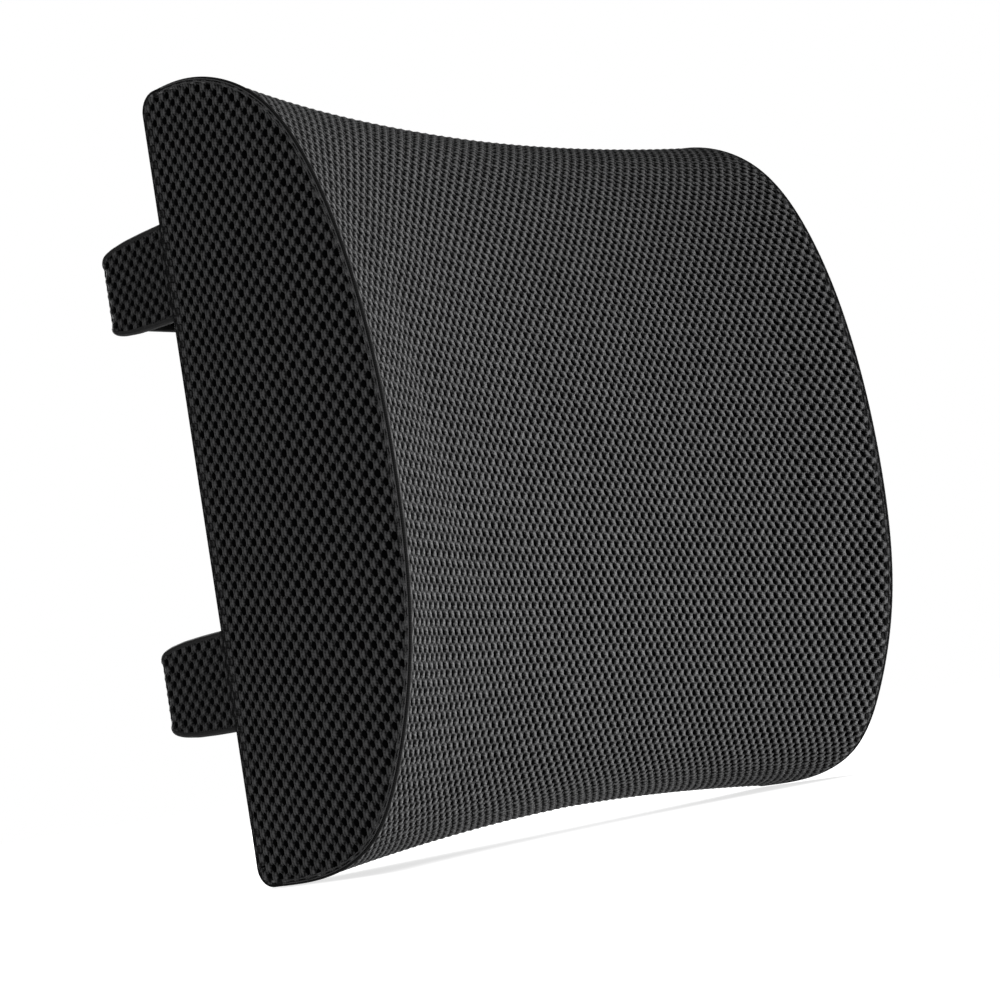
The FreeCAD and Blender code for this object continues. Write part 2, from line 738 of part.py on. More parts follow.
def make_strap(name, height_alias):
    height = f"Dims.{height_alias}"
    for side, hand in ((-1, "left"), (1, "right")):
        make_tab(f"{name}_{hand}_tab", height, side)
    make_webbing(f"{name}_left_webbing", height, f"-{SOCKET_BAR}",
                 "-Dims.webbing_sewn_end", "-Dims.left_tail_end")
    make_webbing(f"{name}_right_webbing", height, PLUG_BAR,
                 "Dims.webbing_sewn_end", "Dims.right_tail_end")
    make_box_stitches(f"{name}_box_stitches", dim(height_alias))
    make_socket(f"{name}_buckle_socket", height)
    make_plug(f"{name}_buckle_plug", height)
    make_prong(f"{name}_top_prong", height, 1)
    make_prong(f"{name}_bottom_prong", height, -1)
    make_tri_glide(f"{name}_tri_glide", height)


# ---------------------------------------------------------------- model and files

make_cushion()
make_zip()
make_zip_slider()
make_zip_pull()
make_strap("upper", "strap_upper_height")
make_strap("lower", "strap_lower_height")
doc.recompute()

for item in doc.Objects:
    if "Invalid" in item.State or "Error" in item.State:
        raise RuntimeError(f"{item.Label} failed: {item.State}")
for part in parts:
    if part.Shape.isNull() or not part.Shape.isValid():
        raise RuntimeError(f"{part.Label} has a bad shape")

os.makedirs("parts", exist_ok=True)
for part in parts:
    part.Shape.exportStep(f"parts/{part.Label}.step")
    bounds = part.Shape.BoundBox
    print(f"{part.Label:24s} solids {len(part.Shape.Solids):3d}  volume {part.Shape.Volume:10.1f}  "
          f"x {bounds.XMin:7.1f} {bounds.XMax:7.1f}  y {bounds.YMin:7.1f} {bounds.YMax:7.1f}  "
          f"z {bounds.ZMin:7.1f} {bounds.ZMax:7.1f}")
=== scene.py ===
import math

import bpy
import numpy as np
from mathutils import Matrix, Vector


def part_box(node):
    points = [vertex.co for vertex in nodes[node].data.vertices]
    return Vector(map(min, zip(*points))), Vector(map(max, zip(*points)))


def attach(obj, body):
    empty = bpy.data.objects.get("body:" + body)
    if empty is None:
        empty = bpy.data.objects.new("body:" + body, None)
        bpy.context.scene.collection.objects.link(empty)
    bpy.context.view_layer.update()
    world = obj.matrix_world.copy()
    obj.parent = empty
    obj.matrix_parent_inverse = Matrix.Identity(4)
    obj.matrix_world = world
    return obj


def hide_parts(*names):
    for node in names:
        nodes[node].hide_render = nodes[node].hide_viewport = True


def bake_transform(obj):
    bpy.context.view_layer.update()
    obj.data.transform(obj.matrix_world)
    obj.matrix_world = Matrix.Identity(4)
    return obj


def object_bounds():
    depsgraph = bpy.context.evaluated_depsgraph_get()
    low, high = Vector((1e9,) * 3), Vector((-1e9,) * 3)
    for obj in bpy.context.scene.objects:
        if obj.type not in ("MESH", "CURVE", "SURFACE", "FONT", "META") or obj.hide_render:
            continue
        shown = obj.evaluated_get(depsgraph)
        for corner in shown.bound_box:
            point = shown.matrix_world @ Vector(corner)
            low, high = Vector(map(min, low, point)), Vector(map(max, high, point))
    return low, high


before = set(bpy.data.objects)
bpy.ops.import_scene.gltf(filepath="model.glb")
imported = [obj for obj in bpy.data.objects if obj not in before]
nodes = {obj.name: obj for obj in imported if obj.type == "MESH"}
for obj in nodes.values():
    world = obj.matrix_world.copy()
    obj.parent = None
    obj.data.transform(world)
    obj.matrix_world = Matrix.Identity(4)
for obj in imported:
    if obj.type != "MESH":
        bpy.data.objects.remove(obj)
cad_low, cad_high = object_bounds()

MM = 0.001


def side_reach(node):
    """Greatest distance of a node from the middle plane, in metres."""
    low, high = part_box(node)
    return max(abs(low.x), abs(high.x))


# ---------------------------------------------------------------- sizes of the cushion, metres

HALF_WIDTH = side_reach("left_side_panel")
HEIGHT = 0.333
DEPTH = 0.112
RECESS = 0.029
TOP_DIP = 0.0087
BOTTOM_RISE = 0.0093
BACK_RADIUS = 0.0085
EDGE_POWER = 1.76
RECESS_POWER = 2.4
END_OUTLINE = (
    (0.20, 0.0), (0.34, 0.003), (0.60, 0.034), (0.795, 0.12), (0.94, 0.25), (1.0, 0.42),
    (0.975, 0.62), (0.857, 0.80), (0.636, 0.93), (0.43, 0.978), (0.20, 0.999),
)
BASE = -HEIGHT / 2
ZIP_HEIGHT = -0.1325
ZIP_OPENING = 0.0071

# The straps: tabs that stand back from the edges and bend inwards, and webbing between them.
STRAP_HEIGHTS = {"upper": 0.0905, "lower": -0.0815}
TAB_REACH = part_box("upper_left_tab")[1].y
TAB_BEND = 0.007
TAB_THICKNESS = 0.003
TAB_END = 0.112
WEBBING_WIDTH = 0.025
WEBBING_THICKNESS = 0.0014
BAND_DEPTH = (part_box("upper_buckle_socket")[0].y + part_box("upper_buckle_socket")[1].y) / 2
LAYER_RADIUS = 0.0029
SEWN_END = 0.134


# ---------------------------------------------------------------- the cushion's surface

def spline_weights(parameters, at):
    """Weights of a clamped cubic spline's points and of its two end slopes, at each parameter."""
    knots = np.asarray(parameters)
    count = len(knots)
    step = np.diff(knots)
    system = np.zeros((count, count))
    right = np.zeros((count, count + 2))
    system[0, 0] = system[-1, -1] = 1
    right[0, count] = right[-1, count + 1] = 1
    for k in range(1, count - 1):
        system[k, k - 1] = step[k]
        system[k, k] = 2 * (step[k - 1] + step[k])
        system[k, k + 1] = step[k - 1]
        right[k, k - 1] = -3 * step[k] / step[k - 1]
        right[k, k + 1] = 3 * step[k - 1] / step[k]
        right[k, k] = -right[k, k - 1] - right[k, k + 1]
    slopes = np.linalg.solve(system, right)
    cell = np.clip(np.searchsorted(knots, at, side="right") - 1, 0, count - 2)
    h = step[cell]
    t = (at - knots[cell]) / h
    rows = np.arange(len(at))
    weights = np.zeros((len(at), count + 2))
    weights[rows, cell] += 2 * t ** 3 - 3 * t ** 2 + 1
    weights[rows, cell + 1] += -2 * t ** 3 + 3 * t ** 2
    weights += ((t ** 3 - 2 * t ** 2 + t) * h)[:, None] * slopes[cell]
    weights += ((t ** 3 - t ** 2) * h)[:, None] * slopes[cell + 1]
    return weights


def distances(path):
    """Distance along a path at each of its points."""
    return np.concatenate([[0], np.cumsum(np.linalg.norm(np.diff(path, axis=0), axis=1))])


def outline_parameters():
    """Share of the end outline's length at each of its points, and the whole length."""
    edge = BACK_RADIUS / DEPTH
    points = np.array([(edge, 0), *END_OUTLINE, (edge, 1)]) * (DEPTH, HEIGHT)
    lengths = distances(points)
    return lengths / lengths[-1], lengths[-1]


OUTLINE_PARAMETERS, FACE_LENGTH = outline_parameters()
CORNER_LENGTH = BACK_RADIUS * math.pi / 2
WRAP_LENGTH = FACE_LENGTH + 2 * CORNER_LENGTH


def back_edges(x):
    """Heights of the flat back's lower and upper edges, where the rounded corners begin."""
    lift = 1 - np.minimum(np.abs(x) / HALF_WIDTH, 1) ** EDGE_POWER
    low = BASE + BOTTOM_RISE * lift
    high = BASE + HEIGHT - TOP_DIP * lift
    return low, high


def wrap_point(x, s):
    """Point on the front cover: x across, s the way round from the lower back edge, in metres."""
    share = np.minimum(np.abs(x) / HALF_WIDTH, 1)
    low, high = back_edges(x)
    reach = DEPTH - RECESS * (1 - share ** RECESS_POWER)
    forward = [-BACK_RADIUS - (ahead * DEPTH - BACK_RADIUS) / (DEPTH - BACK_RADIUS)
               * (reach - BACK_RADIUS) for ahead, up in END_OUTLINE]
    upward = [low + up * (high - low) for ahead, up in END_OUTLINE]
    edge = np.full_like(x, -BACK_RADIUS)
    steep = np.full_like(x, FACE_LENGTH)
    level = np.zeros_like(x)
    ys = np.stack([edge, *forward, edge, -steep, steep], axis=1)
    zs = np.stack([low, *upward, high, level, level], axis=1)
    t = np.clip((s - CORNER_LENGTH) / FACE_LENGTH, 0, 1)
    weights = spline_weights(OUTLINE_PARAMETERS, t)
    y = (weights * ys).sum(axis=1)
    z = (weights * zs).sum(axis=1)
    for beyond, edge_height, rise in ((CORNER_LENGTH - s, low, BACK_RADIUS),
                                      (s - CORNER_LENGTH - FACE_LENGTH, high, -BACK_RADIUS)):
        turn = beyond / BACK_RADIUS
        y = np.where(beyond > 0, -BACK_RADIUS + BACK_RADIUS * np.sin(turn), y)
        z = np.where(beyond > 0, edge_height + rise * (1 - np.cos(turn)), z)
    return np.stack([x, y, z], axis=1)


def unit(vectors):
    return vectors / np.maximum(np.linalg.norm(vectors, axis=-1, keepdims=True), 1e-12)


def surface_normals(surface, flat, outward):
    """Unit normals by small steps along the surface's two directions."""
    step = 2e-4
    along = surface(flat + (step, 0)) - surface(flat - (step, 0))
    up = surface(flat + (0, step)) - surface(flat - (0, step))
    return unit(np.cross(along, up)) * outward


# ---------------------------------------------------------------- mesh helpers

def new_piece(name, points, faces, body="root", material=None):
    """Smooth-shaded mesh object from points and groups of same-sized faces."""
    mesh = bpy.data.meshes.new(name)
    groups = [np.asarray(group, dtype=np.int32) for group in faces if len(group)]
    corners = np.concatenate([group.ravel() for group in groups])
    sizes = np.concatenate([np.full(len(group), group.shape[1]) for group in groups])
    mesh.vertices.add(len(points))
    mesh.vertices.foreach_set("co", np.asarray(points, dtype=np.float32).ravel())
    mesh.loops.add(len(corners))
    mesh.loops.foreach_set("vertex_index", corners)
    mesh.polygons.add(len(sizes))
    mesh.polygons.foreach_set("loop_start", (np.cumsum(sizes) - sizes).astype(np.int32))
    mesh.update(calc_edges=True)
    mesh.shade_smooth()
    piece = bpy.data.objects.new(name, mesh)
    bpy.context.scene.collection.objects.link(piece)
    if material is not None:
        mesh.materials.append(material)
    if body is not None:
        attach(piece, body)
    return piece


def corner_points(piece):
    """Number of the point at each corner of each face."""
    corners = np.zeros(len(piece.data.loops), dtype=np.int32)
    piece.data.loops.foreach_get("vertex_index", corners)
    return corners


def store_cloth_map(piece, flat):
    """UV map that gives each point's place on the flat cloth, in metres."""
    layer = piece.data.uv_layers.new(name="cloth")
    layer.data.foreach_set("uv", np.asarray(flat, dtype=np.float32)[corner_points(piece)].ravel())


# Heights in the unfolded map's unit square: the rim's strip, then the start of the inner face.
RIM_ROWS = (0.002, 0.02)
INNER_START = 0.03
UNFOLDED_GAP = 0.01


def store_unfolded_map(piece, flat, outer_count, rim_corners, outer_share):
    """UV map without overlaps, in the unit square: outer face above, inner face, then rim."""
    low = flat.min(axis=0)
    place = (flat - low) / (flat.max(axis=0) - low)
    place = UNFOLDED_GAP + (1 - 2 * UNFOLDED_GAP) * place
    inner = np.arange(len(flat)) >= outer_count
    inner_height = 1 - outer_share - UNFOLDED_GAP - INNER_START
    unfolded = place.copy()
    unfolded[:, 1] = np.where(inner, INNER_START + inner_height * place[:, 1],
                              1 - outer_share + outer_share * place[:, 1])
    corners = corner_points(piece)
    uv = unfolded[corners]
    rim = corners[rim_corners]
    turn = np.arctan2(place[rim, 1] - 0.5, place[rim, 0] - 0.5) / (2 * math.pi) + 0.5
    uv[rim_corners] = np.stack([turn, np.where(inner[rim], *RIM_ROWS)], axis=1)
    layer = piece.data.uv_layers.new(name="OFBake")
    layer.data.foreach_set("uv", uv.astype(np.float32).ravel())


# ---------------------------------------------------------------- open knitted mesh

# Twelve points round one cell, in quarter steps of the knit across and up.
CELL_ACROSS = np.array((2, 2, 1, 0, -1, -2, -2, -2, -1, 0, 1, 2))
CELL_UP = np.array((0, 1, 2, 3, 2, 1, 0, -1, -2, -3, -2, -1))
# Depth at each of them: bundles of yarn stand highest, the slanting necks between are lower.
NECK_SHARES = np.array((0, 0.22, 1, 0.22, 1, 0.22, 0, 0.22, 1, 0.22, 1, 0.22))


def smooth_step(value, start, end):
    t = np.clip((value - start) / (end - start), 0, 1)
    return t * t * (3 - 2 * t)


class Knit:
    """Size and relief of one open knitted mesh, in metres."""

    def __init__(self, across, up, hole_across, hole_up, depth=0.0016, lean=0.0, shear=0.0,
                 thickness=0.0026, neck=0.00022):
        self.across = across
        self.up = up
        self.hole = (hole_across / 2, hole_up / 2)
        self.depth = depth
        self.lean = lean
        self.shear = shear
        self.thickness = thickness
        self.neck = neck


def lattice_points(knit, rows_across, rows_up):
    """Flat places of whole-number lattice positions."""
    waist = (knit.up ** 2 - knit.across ** 2) / (4 * knit.up)
    offsets = np.array((0, waist, knit.up / 4, knit.up / 2 - waist))
    x = rows_across * knit.across / 4
    y = (rows_up // 4) * knit.up / 2 + offsets[rows_up % 4]
    return np.stack([x, y + knit.shear * x], axis=-1)


def knit_cells(knit, low, high):
    """Lattice rows of the cell centres that cover a flat box."""
    slope = abs(knit.shear) * max(abs(low[0]), abs(high[0]))
    rows = np.arange(math.floor((low[1] - slope) / knit.up * 2) - 2,
                     math.ceil((high[1] + slope) / knit.up * 2) + 3)
    columns = np.arange(math.floor(low[0] / knit.across) - 2,
                        math.ceil(high[0] / knit.across) + 3)
    row, column = np.meshgrid(rows, columns, indexing="ij")
    row = row.ravel()
    column = column.ravel()
    return 4 * column + 2 * (row % 2), 4 * row


def without_repeats(corners):
    kept = [c for i, c in enumerate(corners) if c != corners[i - 1]]
    return kept if len(set(kept)) >= 3 else None


# Least room between a hole and the sheet's border.
HOLE_MARGIN = 0.0002


def knit_layout(knit, low, high, clamp):
    """Flat layout of a knitted sheet: cell centres, shared corners and how they are sunk, each
    cell's corners, which cells are open, and how much of a full hole fits in each."""
    centre_across, centre_up = knit_cells(knit, low, high)
    corner_across = centre_across[:, None] + CELL_ACROSS
    corner_up = centre_up[:, None] + CELL_UP
    centres = lattice_points(knit, centre_across, centre_up)
    corners = lattice_points(knit, corner_across, corner_up)
    held, room = clamp(corners.reshape(-1, 2))
    room = room.reshape(corners.shape[:2])
    used = (room > 1e-6).sum(axis=1) >= 1
    centres = centres[used]
    keys = np.stack([corner_across[used].ravel(), corner_up[used].ravel()], axis=1)
    first, index = np.unique(keys, axis=0, return_index=True, return_inverse=True)[1:]
    flat = held.reshape(corners.shape)[used].reshape(-1, 2)[first]
    necks = np.tile(NECK_SHARES, len(centres))[first]
    index = index.reshape(-1, 12)
    centre_room = clamp(centres)[1]
    open_cells = centre_room > 0.55 * max(knit.hole) + HOLE_MARGIN
    fit = np.minimum((centre_room - HOLE_MARGIN) / max(knit.hole), 1)
    return centres, flat, necks, index, open_cells, fit


# Unevenness of the holes: of their size, as a share, and of their place, in metres.
HOLE_SIZE_SPREAD = 0.07
HOLE_PLACE_SPREAD = 0.00009
# Depths of a hole's shoulder and rim; its floor lies at the knit's own depth.
SHOULDER_DEPTH = 0.00026
RIM_DEPTH = 0.00092


def hole_rings(knit, centres, corners, fit):
    """Rings of each hole: shoulder, rim and floor, as flat places and depths. Holes near the
    border are drawn small enough to fit."""
    steps = corners - centres[:, None, :]
    steps = steps - np.stack([np.zeros(steps.shape[:2]), knit.shear * steps[..., 0]], axis=-1)
    angle = np.arctan2(steps[..., 1] / knit.hole[1], steps[..., 0] / knit.hole[0])
    draw = np.random.default_rng(len(centres))
    size = fit[:, None] + HOLE_SIZE_SPREAD * draw.standard_normal((len(centres), 1)).clip(-2, 2)
    rim = np.stack([size * (knit.hole[0] * np.cos(angle)
                            + knit.lean * knit.hole[1] * np.sin(angle)),
                    size * knit.hole[1] * np.sin(angle)], axis=-1)
    rim += HOLE_PLACE_SPREAD * draw.standard_normal((len(centres), 1, 2)).clip(-2, 2)
    rim[..., 1] += knit.shear * rim[..., 0]
    rim = centres[:, None, :] + rim
    shoulder = corners + (rim - corners) * 0.55
    floor = centres[:, None, :] + (rim - centres[:, None, :]) * 0.86
    flat = np.stack([shoulder, rim, floor], axis=1)
    round_off = np.array((SHOULDER_DEPTH, RIM_DEPTH, knit.depth))[:, None]
    sunk = np.array((0.75, 0.35, 0.0))[:, None] * NECK_SHARES * knit.neck
    return flat, np.broadcast_to(round_off + sunk, flat.shape[:3])


def ring_faces(outer, rings):
    """Quads between neighbouring rings of twelve points, and the floor of each hole."""
    levels = [outer] + [rings[:, k] for k in range(rings.shape[1])]
    quads = []
    for upper, lower in zip(levels, levels[1:]):
        quads.append(np.stack([upper, np.roll(upper, -1, axis=1),
                               np.roll(lower, -1, axis=1), lower], axis=2).reshape(-1, 4))
    return quads, rings[:, -1]


def border_edges(polygons):
    """Directed edges that belong to only one polygon."""
    count = {}
    for corners in polygons:
        for start, end in zip(corners, corners[1:] + corners[:1]):
            key = (min(start, end), max(start, end))
            count.setdefault(key, []).append((start, end))
    return [edges[0] for edges in count.values() if len(edges) == 1]


def set_material_shares(piece, second, kinds):
    """Gives a piece a second material, on the faces whose kind is 1."""
    piece.data.materials.append(second)
    piece.data.polygons.foreach_set("material_index", kinds.astype(np.int32))


# Share of the unfolded map's height for a sheet's outer face: with a plain inner face, and with
# one that has holes too.
PLAIN_BACKED_SHARE = 0.88
TWO_FACED_SHARE = 0.48


def knit_sheet(name, knit, low, high, clamp, surface, outward, material,
               both_faces=False, relief=None):
    """Closed sheet of open knitted mesh: holes with depth on its outer face, or on both."""
    centres, flat, necks, index, open_cells, fit = knit_layout(knit, low, high, clamp)
    ring_flat, ring_depth = hole_rings(knit, centres[open_cells], flat[index[open_cells]],
                                       fit[open_cells])
    shared = len(flat)
    rings = shared + np.arange(ring_depth.size).reshape(ring_depth.shape)
    (shoulders, slopes, walls), floors = ring_faces(index[open_cells], rings)
    brim, corners_lost = without_pressed_corners(shoulders, flat)
    flat_all = np.concatenate([flat, ring_flat.reshape(-1, 2)])
    depth_all = np.concatenate([necks * knit.neck, ring_depth.reshape(-1)])

    plain = [cell for cell in map(without_repeats, index[~open_cells].tolist()) if cell]
    plain = merge_borders(plain, flat)
    cells = merge_borders(index[open_cells].tolist(), flat) + plain
    base = surface(flat_all)
    normals = surface_normals(surface, flat_all, outward)
    if relief is not None:
        base = base + relief(flat_all)
    top = base - normals * depth_all[:, None]
    count = len(flat_all)
    yarn = [brim, corners_lost, slopes]
    wells = [walls, floors]
    if both_faces:
        bottom = base - normals * (knit.thickness - depth_all)[:, None]
        yarn += [group[:, ::-1] + count for group in yarn]
        wells += [group[:, ::-1] + count for group in wells]
        under_cells, under_flat = plain, flat_all
    else:
        bottom = base[:shared] - normals[:shared] * knit.thickness
        under_cells, under_flat = cells, flat
    rim = np.array([(end, start, start + count, end + count)
                    for start, end in border_edges(cells)])
    by_size = {}
    for cell in plain + [[c + count for c in reversed(cell)] for cell in under_cells]:
        by_size.setdefault(len(cell), []).append(cell)
    rim_start = sum(group.size for group in yarn)
    yarn += [rim] + [np.array(group) for group in by_size.values()]
    faces = [group if outward > 0 else group[:, ::-1] for group in yarn + wells if len(group)]
    piece = new_piece(name, np.concatenate([top, bottom]), faces, "root", material)
    deep = sum(len(group) for group in wells)
    face_count = len(piece.data.polygons)
    # The holes' walls and floors take the well material, painted near black as shade.
    set_material_shares(piece, MATERIALS["well"], np.arange(face_count) >= face_count - deep)
    flat_points = np.concatenate([flat_all, under_flat])
    store_cloth_map(piece, flat_points)
    store_unfolded_map(piece, flat_points, count, slice(rim_start, rim_start + rim.size),
                       TWO_FACED_SHARE if both_faces else PLAIN_BACKED_SHARE)
    return piece


def without_pressed_corners(quads, flat):
    """Quads whose outer edge has length, and triangles for those that the border pressed."""
    pressed = np.abs(flat[quads[:, 0]] - flat[quads[:, 1]]).max(axis=1) < 1e-7
    return quads[~pressed], quads[pressed][:, 1:]


def merge_borders(cells, flat):
    """Cells along the border, without the corners that the border pressed together."""
    result = []
    for cell in cells:
        kept = [c for i, c in enumerate(cell)
                if np.abs(flat[c] - flat[cell[i - 1]]).max() > 1e-7]
        if len(kept) < 3:
            continue
        ring = flat[kept]
        following = np.roll(ring, -1, axis=0)
        area = 0.5 * abs((ring[:, 0] * following[:, 1] - ring[:, 1] * following[:, 0]).sum())
        if area > 1e-9:
            result.append(kept)
    return result


def box_clamp(low, high):
    """Holds flat points in a box; also gives each point's room to the nearest side."""
    low = np.asarray(low)
    high = np.asarray(high)

    def clamp(flat):
        held = np.clip(flat, low, high)
        room = np.minimum(flat - low, high - flat).min(axis=1)
        return held, room

    return clamp


def polygon_clamp(corners):
    """Holds flat points in a closed polygon given in order; also gives the room to its edge."""
    start = corners
    edge = np.roll(corners, -1, axis=0) - corners
    length = (edge ** 2).sum(axis=1)

    def clamp(flat):
        best = np.full(len(flat), np.inf)
        nearest = np.zeros_like(flat)
        crossings = np.zeros(len(flat), dtype=int)
        for (sx, sy), (ex, ey), squared in zip(start, edge, length):
            t = np.clip(((flat[:, 0] - sx) * ex + (flat[:, 1] - sy) * ey) / squared, 0, 1)
            point = np.stack([sx + t * ex, sy + t * ey], axis=1)
            distance = ((flat - point) ** 2).sum(axis=1)
            closer = distance < best
            best[closer] = distance[closer]
            nearest[closer] = point[closer]
            spans = (flat[:, 1] >= sy) != (flat[:, 1] >= sy + ey)
            if spans.any() and abs(ey) > 0:
                cross = sx + (flat[:, 1] - sy) / ey * ex
                crossings += spans & (flat[:, 0] < cross)
        inside = crossings % 2 == 1
        room = np.sqrt(best) * np.where(inside, 1, -1)
        return np.where(inside[:, None], flat, nearest), room

    return clamp


FRONT_KNIT = Knit(0.0052, 0.0069, 0.0021, 0.0033, depth=0.0023, lean=-0.42, shear=-0.055,
                  neck=0.0004)
SIDE_KNIT = Knit(0.0064, 0.0070, 0.0027, 0.0035, depth=0.0024, shear=-0.155, neck=0.0006)
BACK_KNIT = Knit(0.0060, 0.0070, 0.0025, 0.0033, depth=0.0021, neck=0.0005)
TAB_KNIT = Knit(0.0062, 0.0066, 0.0025, 0.0030, depth=0.0013, thickness=0.0028, neck=0.0004)


# ---------------------------------------------------------------- swept strips and threads

def sweep(name, path, across, up, profile, material, loop=False, body="root", lift=None,
          scale=None, second=None, switch=0):
    """Closed strip: a closed profile carried along a path. lift raises it along up, and the
    profile's sides from number switch onwards take the second material."""
    count = len(path)
    size = len(profile)
    scale = np.ones(count) if scale is None else scale
    points = (path[:, None, :]
              + across[:, None, :] * profile[None, :, 0, None] * scale[:, None, None]
              + up[:, None, :] * profile[None, :, 1, None] * scale[:, None, None])
    if lift is not None:
        points = points + up[:, None, :] * lift[:, None, None]
    stations = np.arange(count if loop else count - 1)
    grid = np.arange(count * size).reshape(count, size)
    here = grid[stations]
    there = grid[(stations + 1) % count]
    quads = np.stack([here, there, np.roll(there, -1, axis=1), np.roll(here, -1, axis=1)],
                     axis=2).reshape(-1, 4)
    faces = [quads]
    if not loop:
        faces += [grid[:1], grid[-1:, ::-1]]
    turned = np.cross(across[0], up[0]) @ (path[1] - path[0])
    winding = 0.5 * (profile[:, 0] * np.roll(profile[:, 1], -1)
                     - profile[:, 1] * np.roll(profile[:, 0], -1)).sum()
    if turned * winding > 0:
        faces = [group[:, ::-1] for group in faces]
    piece = new_piece(name, points.reshape(-1, 3), faces, body, material)
    if second is not None:
        set_material_shares(piece, second, np.tile(np.arange(size) >= switch, len(stations)))
    store_cloth_map(piece, np.stack([np.repeat(distances(path), size),
                                     np.tile(distances(profile), count)], axis=1))
    return piece


def spaced(path, vectors, spacing):
    """Path resampled at even spacing, its direction vectors, and the distances along it."""
    length = distances(path)
    count = max(int(round(length[-1] / spacing)), 2)
    at = np.linspace(0, length[-1], count + 1)
    resample = [np.stack([np.interp(at, length, v[:, k]) for k in range(3)], axis=1)
                for v in [path] + vectors]
    return [resample[0]] + [unit(v) for v in resample[1:]] + [at]


def thread_profile(radius, sides=6):
    turn = np.linspace(0, 2 * math.pi, sides, endpoint=False)
    return radius * np.stack([np.cos(turn), np.sin(turn)], axis=1)


def stitch_line(name, path, across, up, material, radius=0.00025, pitch=0.003):
    """Row of lockstitches: a thread that dips into the cloth at the end of each stitch."""
    path, across, up, at = spaced(path, [across, up], pitch / 8)
    phase = (at / pitch) % 1
    lift = radius * (0.9 - 2.4 * np.abs(2 * phase - 1) ** 6)
    return sweep(name, path, across, up, thread_profile(radius), material, lift=lift)


# ---------------------------------------------------------------- materials

def node(tree, kind, **settings):
    item = tree.nodes.new(kind)
    for key, value in settings.items():
        setattr(item, key, value)
    return item


def link(tree, source, target):
    tree.links.new(source, target)


def new_material(name, roughness, sheen=0.0, specular=0.5):
    """Material with its node tree and its shader."""
    material = bpy.data.materials.new(name)
    material.use_nodes = True
    tree = material.node_tree
    shader = tree.nodes["Principled BSDF"]
    shader.inputs["Roughness"].default_value = roughness
    shader.inputs["Sheen Weight"].default_value = sheen
    shader.inputs["Sheen Roughness"].default_value = 0.4
    shader.inputs["Specular IOR Level"].default_value = specular
    return material, tree, shader


def noise(tree, coordinates, scale, detail=3.0, roughness=0.6):
    item = node(tree, "ShaderNodeTexNoise")
    item.inputs["Scale"].default_value = scale
    item.inputs["Detail"].default_value = detail
    item.inputs["Roughness"].default_value = roughness
    link(tree, coordinates, item.inputs["Vector"])
    return item.outputs["Fac"]


def grey(value):
    return (value, value, value)


def object_place(tree):
    return node(tree, "ShaderNodeTexCoord").outputs["Object"]


def cloth_place(tree):
    return node(tree, "ShaderNodeUVMap", uv_map="cloth").outputs["UV"]


def ramp(tree, source, stops):
    item = node(tree, "ShaderNodeValToRGB")
    elements = item.color_ramp.elements
    while len(elements) < len(stops):
        elements.new(0.5)
    for element, (place, colour) in zip(elements, stops):
        element.position = place
        element.color = (*colour, 1)
    link(tree, source, item.inputs["Fac"])
    return item.outputs["Color"]


def math_node(tree, operation, first, second=0.0):
    item = node(tree, "ShaderNodeMath", operation=operation)
    for socket, value in zip(item.inputs, (first, second)):
        if isinstance(value, (int, float)):
            socket.default_value = value
        else:
            link(tree, value, socket)
    return item.outputs["Value"]


def weighted_sum(tree, *terms):
    """Sum of sources, each times its weight."""
    parts = [math_node(tree, "MULTIPLY", source, weight) for source, weight in terms]
    total = parts[0]
    for part in parts[1:]:
        total = math_node(tree, "ADD", total, part)
    return total


def bump(tree, height, distance, strength, shader):
    item = node(tree, "ShaderNodeBump")
    item.inputs["Strength"].default_value = strength
    item.inputs["Distance"].default_value = distance
    link(tree, height, item.inputs["Height"])
    link(tree, item.outputs["Normal"], shader.inputs["Normal"])


def turns(tree, cloth, across, up):
    """Angle that grows over the flat cloth, in radians per metre across and up."""
    item = node(tree, "ShaderNodeVectorMath", operation="DOT_PRODUCT")
    link(tree, cloth, item.inputs[0])
    item.inputs[1].default_value = (across, up, 0)
    return item.outputs["Value"]


def rise_and_fall(tree, wave):
    """0 where a wave is highest and 1 where it is lowest."""
    return math_node(tree, "SUBTRACT", 0.5, math_node(tree, "MULTIPLY", wave, 0.5))


def ribs(tree, cloth, direction, pitch):
    """Fine ribs of the given pitch across the flat cloth, from 0 to 1."""
    rate = 2 * math.pi / pitch
    angle = turns(tree, cloth, direction[0] * rate, direction[1] * rate)
    return rise_and_fall(tree, math_node(tree, "COSINE", angle))


def bundles(tree, cloth, knit):
    """Height of the yarn: 1 at the middle of each bundle, a half at the necks, 0 at holes; the
    yarn's colour also takes it as painted light, lighter at the middle and darker at the holes.
    """
    rate = 2 * math.pi / knit.up
    row = turns(tree, cloth, -knit.shear * rate, rate)
    column = turns(tree, cloth, 2 * math.pi / knit.across, 0)
    slant = math_node(tree, "MULTIPLY", math_node(tree, "SINE", row), -1.6 * knit.lean)
    place = math_node(tree, "ADD", column, slant)
    product = math_node(tree, "MULTIPLY", math_node(tree, "COSINE", place),
                        math_node(tree, "COSINE", row))
    return rise_and_fall(tree, product)


